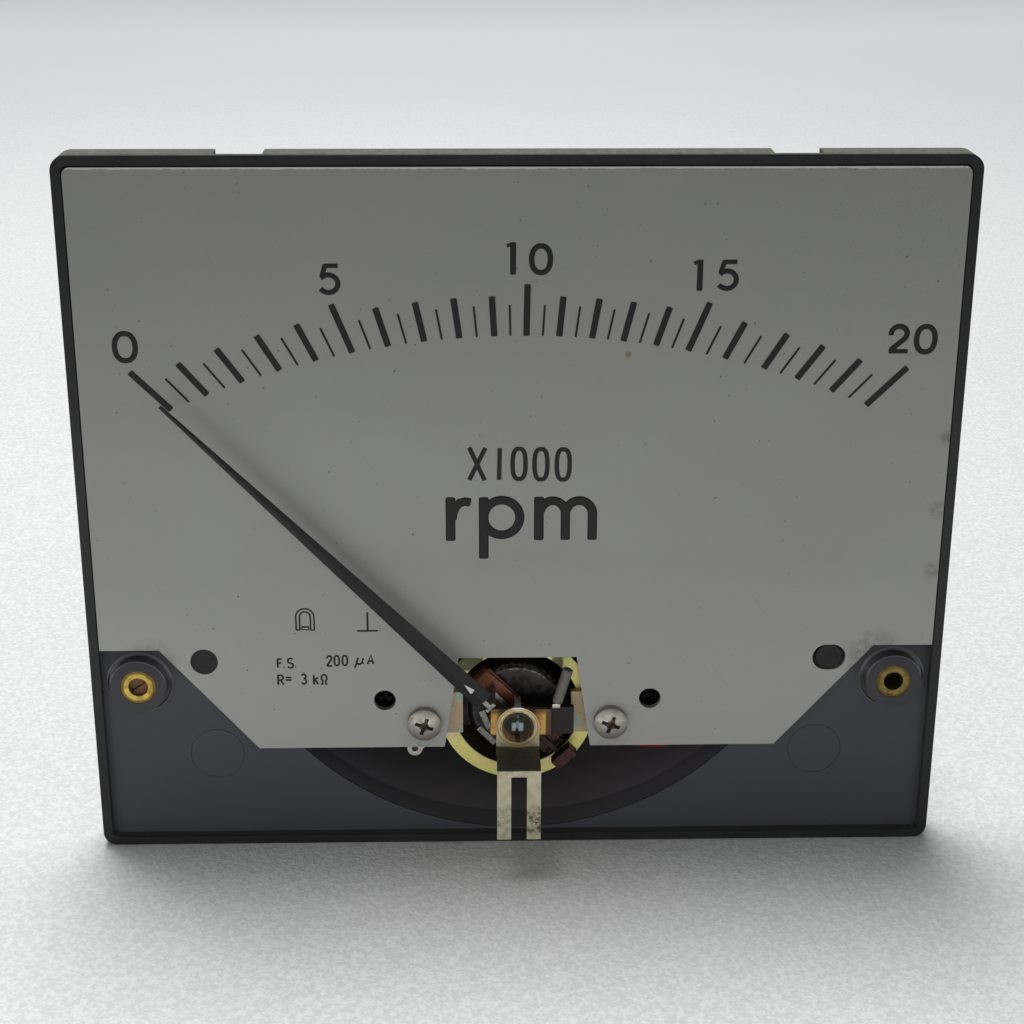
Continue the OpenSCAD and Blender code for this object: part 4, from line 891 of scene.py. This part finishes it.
def along_pointer(f):
    """Distances from the pivot: along the pointer, back, and across the pointer."""
    return f.parts(f.place(centre=(0, 0, PIVOT_Z), turn=(0, -POINTER_DIRECTION, 0)))


def lacquered_copper():
    f = Finish("enamelled_copper", (0.24, 0.075, 0.032), 0.55, 0.3, Coat_Weight=0.35)
    f.blotches(1.2, 0.42, 0.64, 0.7, (0.14, 0.04, 0.02), detail=4)
    f.blotches(0.35, 0.58, 0.72, 0.5, (0.42, 0.17, 0.075), detail=2)
    along, depth, across = along_pointer(f)
    f.stain((0.045, 0.024, 0.022), f.mask(along, -3.0, -5.0, 0.85))
    f.uneven_gloss(f.noise(0.8), 0.22, 0.42)
    return f.done()


COPPER = lacquered_copper()
loop = rounded_loop(HALF_X - WIRE / 2, HALF_Y - WIRE / 2, CORNER)
turns = int((WINDING_W - WIRE) / WIRE)
route = []
for i in range(turns * len(loop) + 1):
    px, py = loop[i % len(loop)]
    pz = -WINDING_W / 2 + WIRE / 2 + (WINDING_W - WIRE) * i / (turns * len(loop))
    route.append(coil_space(px, MIDDLE_Y + py, pz))
wire = tube("wound_wire", [(route, [1] * len(route), False)], WIRE / 2, 1)
smooth_by_angle(wire, 70)
settle(wire, "wound_wire", "moving_coil", COPPER)

# %% The layers under the outer turns
LAYERS_END = 1.62
inner = rounded_loop(HALF_X - 0.76, HALF_Y - 0.76, 0.45)
outer = rounded_loop(HALF_X - 0.13, HALF_Y - 0.13, CORNER)
band = bmesh.new()
rings = []
for edge_line, pz in ((inner, -LAYERS_END), (outer, -LAYERS_END),
                      (outer, LAYERS_END), (inner, LAYERS_END)):
    rings.append([band.verts.new(coil_space(px, MIDDLE_Y + py, pz)) for px, py in edge_line])
for a, b in zip(rings, rings[1:] + rings[:1]):
    for i in range(len(a)):
        k = (i + 1) % len(a)
        band.faces.new((a[i], a[k], b[k], b[i]))
mesh = bpy.data.meshes.new("winding_layers")
band.to_mesh(mesh)
band.free()
layers = bpy.data.objects.new("winding_layers", mesh)
bpy.context.scene.collection.objects.link(layers)
with edited(layers):
    bpy.ops.mesh.normals_make_consistent(inside=False)
smooth_by_angle(bevelled(layers, 0.1, angle=50), 40)
settle(layers, "winding_layers", "moving_coil", COPPER)
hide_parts("coil_winding")

# %% [markdown]
# The pointer is thin aluminium, folded to a ridge and sprayed black, with a dab of white
# paint near its root. Its carrier and the small bars on it are bare aluminium, and the
# weight behind the axis is brass under brown varnish.

# %% Pointer and balance
def sprayed_black():
    f = Finish("black_aluminium", (0.009, 0.009, 0.0105), Specular_IOR_Level=0.3)
    f.blotches(2.4, 0.45, 0.68, 0.6, (0.017, 0.017, 0.0195), detail=4)
    along, depth, across = along_pointer(f)
    ragged = f.times(f.noise(0.5), 0.4)
    start = f.mask(f.maths("ADD", along, ragged), 9.27, 9.33)
    half_width = f.times(f.maths("SUBTRACT", 10.9, along), 0.24)
    room = f.maths("SUBTRACT", half_width, f.absolute(across))
    f.stain((0.62, 0.62, 0.62), start, f.mask(room, 0.0, 0.06))
    f.blotches(0.6, 0.68, 0.76, 0.3, (0.05, 0.05, 0.05), rough=0.7)
    f.raise_by(f.noise(0.25), 0.006, 0.6)
    return f.done()


softened("pointer", 0.03, sprayed_black(), "folded_pointer", angle=12)


def bare_aluminium():
    """Dull aluminium with dark specks, and varnished brown on the tail side of the axis."""
    f = metal("plain_aluminium", (0.3, 0.3, 0.29), (0.085, 0.082, 0.075), 0.36, 0.75, 0.45)
    along, depth, across = along_pointer(f)
    f.stain((0.05, 0.028, 0.025), f.mask(along, -2.6, -3.0, 0.95))
    return f.done()


ALUMINIUM = bare_aluminium()
softened("pointer_carrier", 0.05, ALUMINIUM, "pointer_carrier_sheet")
softened("side_weights", 0.08, ALUMINIUM, "side_weight_bars")
VARNISHED = metal("varnished_aluminium", (0.13, 0.075, 0.05), (0.06, 0.035, 0.025), 0.36, 0.7, 0.9)
softened("coil_former", 0.04, VARNISHED.done(), "coil_frame_sheet")
IRON = metal("dark_iron", (0.03, 0.029, 0.034), (0.018, 0.017, 0.02), 0.45, 0.6)
softened("core_keys", 0.1, IRON.done(), "ground_core_keys")
BROWN_BRASS = metal("brown_brass", (0.085, 0.045, 0.04), (0.045, 0.024, 0.021), 0.4, 0.7, 0.8)
softened("tail_weight", 0.18, BROWN_BRASS.done(), "tail_balance_weight", segments=3)
STEEL = metal("pivot_steel", (0.56, 0.56, 0.57), (0.36, 0.36, 0.37), 0.18, 0.35, 0.5).done()


def red_jewel():
    f = Finish("jewel_red", (0.42, 0.016, 0.04), roughness=0.08, Coat_Weight=0.6)
    f.blotches(0.5, 0.4, 0.7, 0.6, (0.25, 0.006, 0.022), detail=2)
    return f.done()


RUBY = red_jewel()
for end in ("front", "rear"):
    dress(end + "_pivot", STEEL)
    dress(end + "_jewel", RUBY)

# %% [markdown]
# The leads run in the dark of the barrel. Their insulation is soft plastic with a dull
# skin. The resistor's coating is sandy with four colour bands, and its bare ends are tinned
# wire, so the coating is chosen by place: it covers the middle 8 millimetres only.

# %% Leads and resistor
def insulation(name, colour, wear_and_glint):
    f = Finish(name, colour, roughness=0.45)
    f.blotches(2.2, 0.45, 0.68, 0.7, wear_and_glint, detail=4)
    f.blotches(0.5, 0.66, 0.74, 0.5, (0.12, 0.11, 0.1), detail=2)
    f.raise_by(f.noise(0.6), 0.02, 0.4)
    return f.done()


def resistor_coat():
    f = Finish("resistor_coat", (0.5, 0.47, 0.41))
    x, y, z = f.parts()
    body = f.between(x, 1.95, 2.05, 9.95, 10.05)
    f.stain((0.33, 0.22, 0.105), body)
    f.stain((0.24, 0.15, 0.07), body, f.mask(f.noise(0.6), 0.5, 0.62, 0.5))
    for band_x, colour in ((3.6, (0.36, 0.1, 0.02)), (5.0, (0.01, 0.01, 0.01)),
                           (6.4, (0.36, 0.01, 0.008)), (8.6, (0.4, 0.28, 0.06))):
        f.stain(colour, f.between(x, band_x - 0.4, band_x - 0.36, band_x + 0.36, band_x + 0.4))
    f.raise_by(f.noise(0.4), 0.02, 0.5)
    return f.done()


dress("red_lead", insulation("red_insulation", (0.33, 0.016, 0.012), (0.2, 0.01, 0.01)))
dress("black_lead", insulation("black_insulation", (0.012, 0.012, 0.013), (0.028, 0.028, 0.03)))
dress("series_resistor", resistor_coat())

# %% Screws and fittings inside
NICKEL = metal("nickel_steel", (0.44, 0.425, 0.39), (0.3, 0.26, 0.2), 0.34, 0.5).done()
BLACK_OXIDE = metal("black_oxide", (0.022, 0.022, 0.026), (0.03, 0.028, 0.03), 0.6, 0.6).done()
PLAIN_BRASS = metal("plain_brass", (0.5, 0.37, 0.13), (0.28, 0.17, 0.055), 0.36, 0.6).done()
for node, edge, finish, name in (
        ("frame_screws", 0.1, BLACK_OXIDE, "frame_plate_screws"),
        ("dial_spacers", 0.1, PLAIN_BRASS, "turned_dial_spacers"),
        ("rear_bridge_screws", 0.08, NICKEL, "rear_bridge_fixing_screws"),
        ("rear_jewel_screw", 0.06, AMBER, "rear_slotted_jewel_screw"),
        ("rear_lock_nut", 0.12, AMBER, "rear_jewel_lock_nut"),
        ("rear_anchor", 0.05, AMBER, "rear_spring_anchor"),
        ("terminal_tags", 0.08, TINNED, "terminal_solder_tags")):
    softened(node, edge, finish, name)

# %% [markdown]
# The studs are M4 screws. A thread is a ridge wound round a rod, so a small zigzag line is
# swept round and up by the Screw modifier, one pitch of 0.7 mm a turn. The sweep's two open
# ends are filled, and the last half millimetre is turned down to a chamfer.

# %% A helper for threads
PITCH = 0.7
THREAD_DEPTH = 0.38
CHAMFER = 0.45
TIP_RADIUS = 1.2
END_GAP = 0.02


def threaded(name, radius, start, length):
    """A thread of outer radius radius from y = start back to start + length, at x = z = 0."""
    root = radius - THREAD_DEPTH
    bpy.ops.mesh.primitive_plane_add(size=1)
    rod = bpy.context.object
    with edited(rod):
        bpy.ops.mesh.delete(type="ONLY_FACE")
        mesh = bmesh.from_edit_mesh(rod.data)
        mesh.edges.ensure_lookup_table()
        mesh.edges.remove(mesh.edges[0])
        chain = [v for v in mesh.verts if len(v.link_edges) == 1][:1]
        while len(chain) < 4:
            beside = [e.other_vert(chain[-1]) for e in chain[-1].link_edges]
            chain.append(next(v for v in beside if v not in chain))
        for vert, (r, up) in zip(chain, ((root, 0), (radius, 0.4), (radius, 0.52), (root, 1))):
            vert.co = (r * MM, 0, up * PITCH * MM)
        bmesh.update_edit_mesh(rod.data)
    sweep = rod.modifiers.new("thread", "SCREW")
    sweep.axis = "Z"
    sweep.angle = 2 * pi
    sweep.screw_offset = PITCH * MM
    sweep.iterations = int(length / PITCH)
    sweep.steps = sweep.render_steps = 20
    sweep.use_merge_vertices = False
    apply_modifiers(rod)
    with edited(rod):
        bpy.ops.mesh.remove_doubles(threshold=4e-6)
        bpy.ops.transform.translate(value=(0, 0, -PITCH * MM / 2))
        for end, up in ((0, -1), (length - END_GAP, 1)):
            bpy.ops.mesh.select_all(action="SELECT")
            bpy.ops.mesh.bisect(
                plane_co=(0, 0, end * MM), plane_no=(0, 0, up), clear_outer=True, use_fill=True)
        bpy.ops.mesh.select_all(action="SELECT")
        bpy.ops.mesh.fill_holes(sides=0)
        bpy.ops.mesh.select_all(action="SELECT")
        bpy.ops.transform.rotate(value=pi / 2, orient_axis="X", center_override=(0, 0, 0))
    turned = -1 if sum(v.co.y for v in rod.data.vertices) < 0 else 1
    for v in rod.data.vertices:
        y, z = turned * v.co.y, turned * v.co.z
        most = max((radius - CHAMFER + length) * MM - y, TIP_RADIUS * MM)
        across = sqrt(v.co.x ** 2 + z ** 2)
        k = min(1, most / across) if across > 0 else 1
        v.co = (v.co.x * k, y + start * MM, z * k)
    with edited(rod):
        bpy.ops.mesh.normals_make_consistent(inside=False)
    smooth_by_angle(rod, 30)
    rod.name = name
    return rod


def joined(pieces):
    """Joins pieces into the first of them."""
    only(pieces[0])
    for piece in pieces:
        piece.select_set(True)
    bpy.ops.object.join()
    return bpy.context.object


def copies_at(piece, places):
    """One object that holds a copy of the piece at each place, given in millimetres."""
    made = []
    for place in places:
        only(piece)
        bpy.ops.object.duplicate()
        made.append(bpy.context.object)
        with edited(made[-1]):
            bpy.ops.transform.translate(value=[c * MM for c in place])
    bpy.data.objects.remove(piece)
    return joined(made)


def cylinder(vertices, radius, length, middle_y=0):
    """A round bar along Y, in millimetres."""
    bpy.ops.mesh.primitive_cylinder_add(
        vertices=vertices, radius=radius * MM, depth=length * MM,
        location=(0, middle_y * MM, 0), rotation=(pi / 2, 0, 0))
    bpy.ops.object.transform_apply(location=True, rotation=True, scale=True)
    return bpy.context.object


# %% Terminal studs and mounting studs
TERMINALS = [(x, 0, 4) for x in (-18, 18)]
STUDS = [(x, 0, FLANGE_Z + z) for x in (-43, 43) for z in (-36, 36)]
TERMINAL_BRASS = metal("terminal_brass", (0.52, 0.4, 0.14), (0.3, 0.2, 0.07), 0.32, 0.55).done()
ZINC = metal("zinc_steel", (0.46, 0.46, 0.45), (0.3, 0.295, 0.28), 0.36, 0.5).done()

TERMINAL_RADIUS, TERMINAL_START, TERMINAL_LENGTH = 2.0, 31.1, 22.9
stud = copies_at(threaded("terminal_thread", TERMINAL_RADIUS, TERMINAL_START, TERMINAL_LENGTH),
                 TERMINALS)
settle(stud, "threaded_terminal_studs", "meter_body", TERMINAL_BRASS)
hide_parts("terminal_studs")

STUD_RADIUS, STUD_START, STUD_LENGTH = 1.95, 1.2, 16.8
HEAD_RADIUS, HEAD_LENGTH = 2.6, 2.5
thread = threaded("stud_thread", STUD_RADIUS, STUD_START, STUD_LENGTH)
head = cylinder(48, HEAD_RADIUS, HEAD_LENGTH, middle_y=-HEAD_LENGTH / 2)
with edited(head):
    mesh = bmesh.from_edit_mesh(head.data)
    bpy.ops.mesh.select_mode(type="FACE")
    bpy.ops.mesh.select_all(action="DESELECT")
    for face in mesh.faces:
        face.select = face.normal.y > 0.9
    bmesh.update_edit_mesh(head.data)
    bpy.ops.mesh.inset(thickness=0.6 * MM, depth=0)
    bpy.ops.mesh.extrude_region_move(TRANSFORM_OT_translate={"value": (0, 1.5 * MM, 0)})
bolt = joined([head, thread])
smooth_by_angle(bolt, 30)
bolts = copies_at(bolt, STUDS)
settle(bolts, "threaded_mounting_studs", "meter_body", ZINC)
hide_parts("mounting_studs")

# %% [markdown]
# A hexagon nut's corners are turned off to a shallow cone on both faces, and that turned
# ring is what tells a nut from a plain hexagon. The hexagon is cut by a bevelled round
# blank with the Boolean modifier, then bored, and its copies stand where the solids do.

# %% Nuts and washers
def chamfered_nut(width, thick, bore):
    corner = width / 2 / cos(pi / 6)
    nut = cylinder(6, corner, thick)
    with edited(nut):
        bpy.ops.transform.rotate(value=pi / 6, orient_axis="Y", center_override=(0, 0, 0))
    blank = bevelled(cylinder(64, corner + 0.02, thick), 0.48, segments=1, angle=60)
    cut_by(nut, blank, "INTERSECT")
    cut_by(nut, cylinder(48, bore, thick * 2), "DIFFERENCE")
    smooth_by_angle(bevelled(nut, 0.06, angle=25), 28)
    return nut


NUT_WIDTH, NUT_THICK = 7, 2.6
INNER_NUT_Y, OUTER_NUT_YS, MOUNTING_NUT_Y = [33.4], [41.1, 46.9], [8.1]
for node, name, rods, ys, bore, finish, slot in (
        ("terminal_inner_nuts", "chamfered_inner_nuts", TERMINALS, INNER_NUT_Y, 1.92,
         TERMINAL_BRASS, "terminal_brass"),
        ("terminal_nuts", "chamfered_terminal_nuts", TERMINALS, OUTER_NUT_YS, 1.92,
         TERMINAL_BRASS, "terminal_brass"),
        ("mounting_nuts", "chamfered_mounting_nuts", STUDS, MOUNTING_NUT_Y, 1.88,
         ZINC, "zinc_steel")):
    nuts = copies_at(chamfered_nut(NUT_WIDTH, NUT_THICK, bore),
                     [(x, y, z) for x, _, z in rods for y in ys])
    settle(nuts, name, "meter_body", finish)
    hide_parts(node)
softened("terminal_washers", 0.14, NICKEL, "terminal_plain_washers")
softened("mounting_washers", 0.14, ZINC, "mounting_plain_washers")

# %% [markdown]
# The meter stands on a pale, finely grained surface, lit by a broad soft light from above
# and a little behind, as under a ceiling lamp, with a weaker one from the front and a low
# card close by that lightens the lower half of the movement.

# %% Floor, light and camera
FLOOR_Z = -43.5
bpy.ops.mesh.primitive_plane_add(size=6, location=(0, 1.2, FLOOR_Z * MM))
floor = bpy.context.object
bpy.ops.object.transform_apply(location=True, rotation=True, scale=True)
floor.name = "studio_floor"
ground = Finish("studio_floor", (0.66, 0.665, 0.665), roughness=0.85, Specular_IOR_Level=0.2)
grain = ground.noise(0.8, detail=4, rough=0.7)
ground.stain((0.8, 0.805, 0.805), ground.mask(grain, 0.42, 0.6, 0.9))
# Painted glints: sparse near-white specks in the grain.
ground.blotches(0.5, 0.67, 0.72, 0.7, (0.95, 0.95, 0.95), detail=2)
ground.raise_by(grain, 0.5, 0.7)
x, y, z = ground.parts()
# Painted light: as the camera sees it, the floor glows more and more from 250 mm behind the meter
# to 1050 mm.
seen = ground.add("ShaderNodeLightPath").outputs["Is Camera Ray"]
painted_floor_glow = ground.times(seen, ground.mask(y, 250, 1050, 0.42))
ground.set(ground.shader, Emission_Color=(0.95, 0.98, 1.0, 1))
ground.link(painted_floor_glow, ground.shader.inputs["Emission Strength"])
floor.data.materials.append(ground.done())

world = bpy.data.worlds.new("studio")
bpy.context.scene.world = world
world.use_nodes = True
sky = world.node_tree.nodes["Background"]
sky.inputs["Color"].default_value = (0.97, 0.985, 1.0, 1)
sky.inputs["Strength"].default_value = 0.16


def softbox(name, place, aim, size, watts, low=None):
    bpy.ops.object.light_add(type="AREA", location=place)
    lamp = bpy.context.object
    lamp.name = name
    lamp.data.size = size
    if low:
        lamp.data.shape = "RECTANGLE"
        lamp.data.size_y = low
    lamp.data.energy = watts
    lamp.visible_camera = False
    lamp.rotation_euler = (Vector(aim) - Vector(place)).to_track_quat("-Z", "Y").to_euler()
    return lamp


softbox("ceiling_light", (-0.09, 0.22, 0.8), (0, 0, 0), 0.42, 8.8)
softbox("front_light", (-0.25, -1.0, 0.55), (0, 0, 0), 0.9, 0.8)
softbox("bounce_card", (-0.012, -0.11, -0.026), (0, 0, -0.016), 0.3, 0.052, low=0.03)
bpy.ops.object.camera_add(location=(-6.98 * MM, -248.67 * MM, 98.21 * MM),
                          rotation=(radians(69.646), radians(-0.14), radians(-1.388)))
camera = bpy.context.object
camera.data.lens = 66.8
camera.data.sensor_width = 36
camera.data.clip_start = 0.01
bpy.context.scene.camera = camera
bpy.context.scene.view_settings.view_transform = "Standard"
print("camera at", [round(c, 4) for c in camera.location])
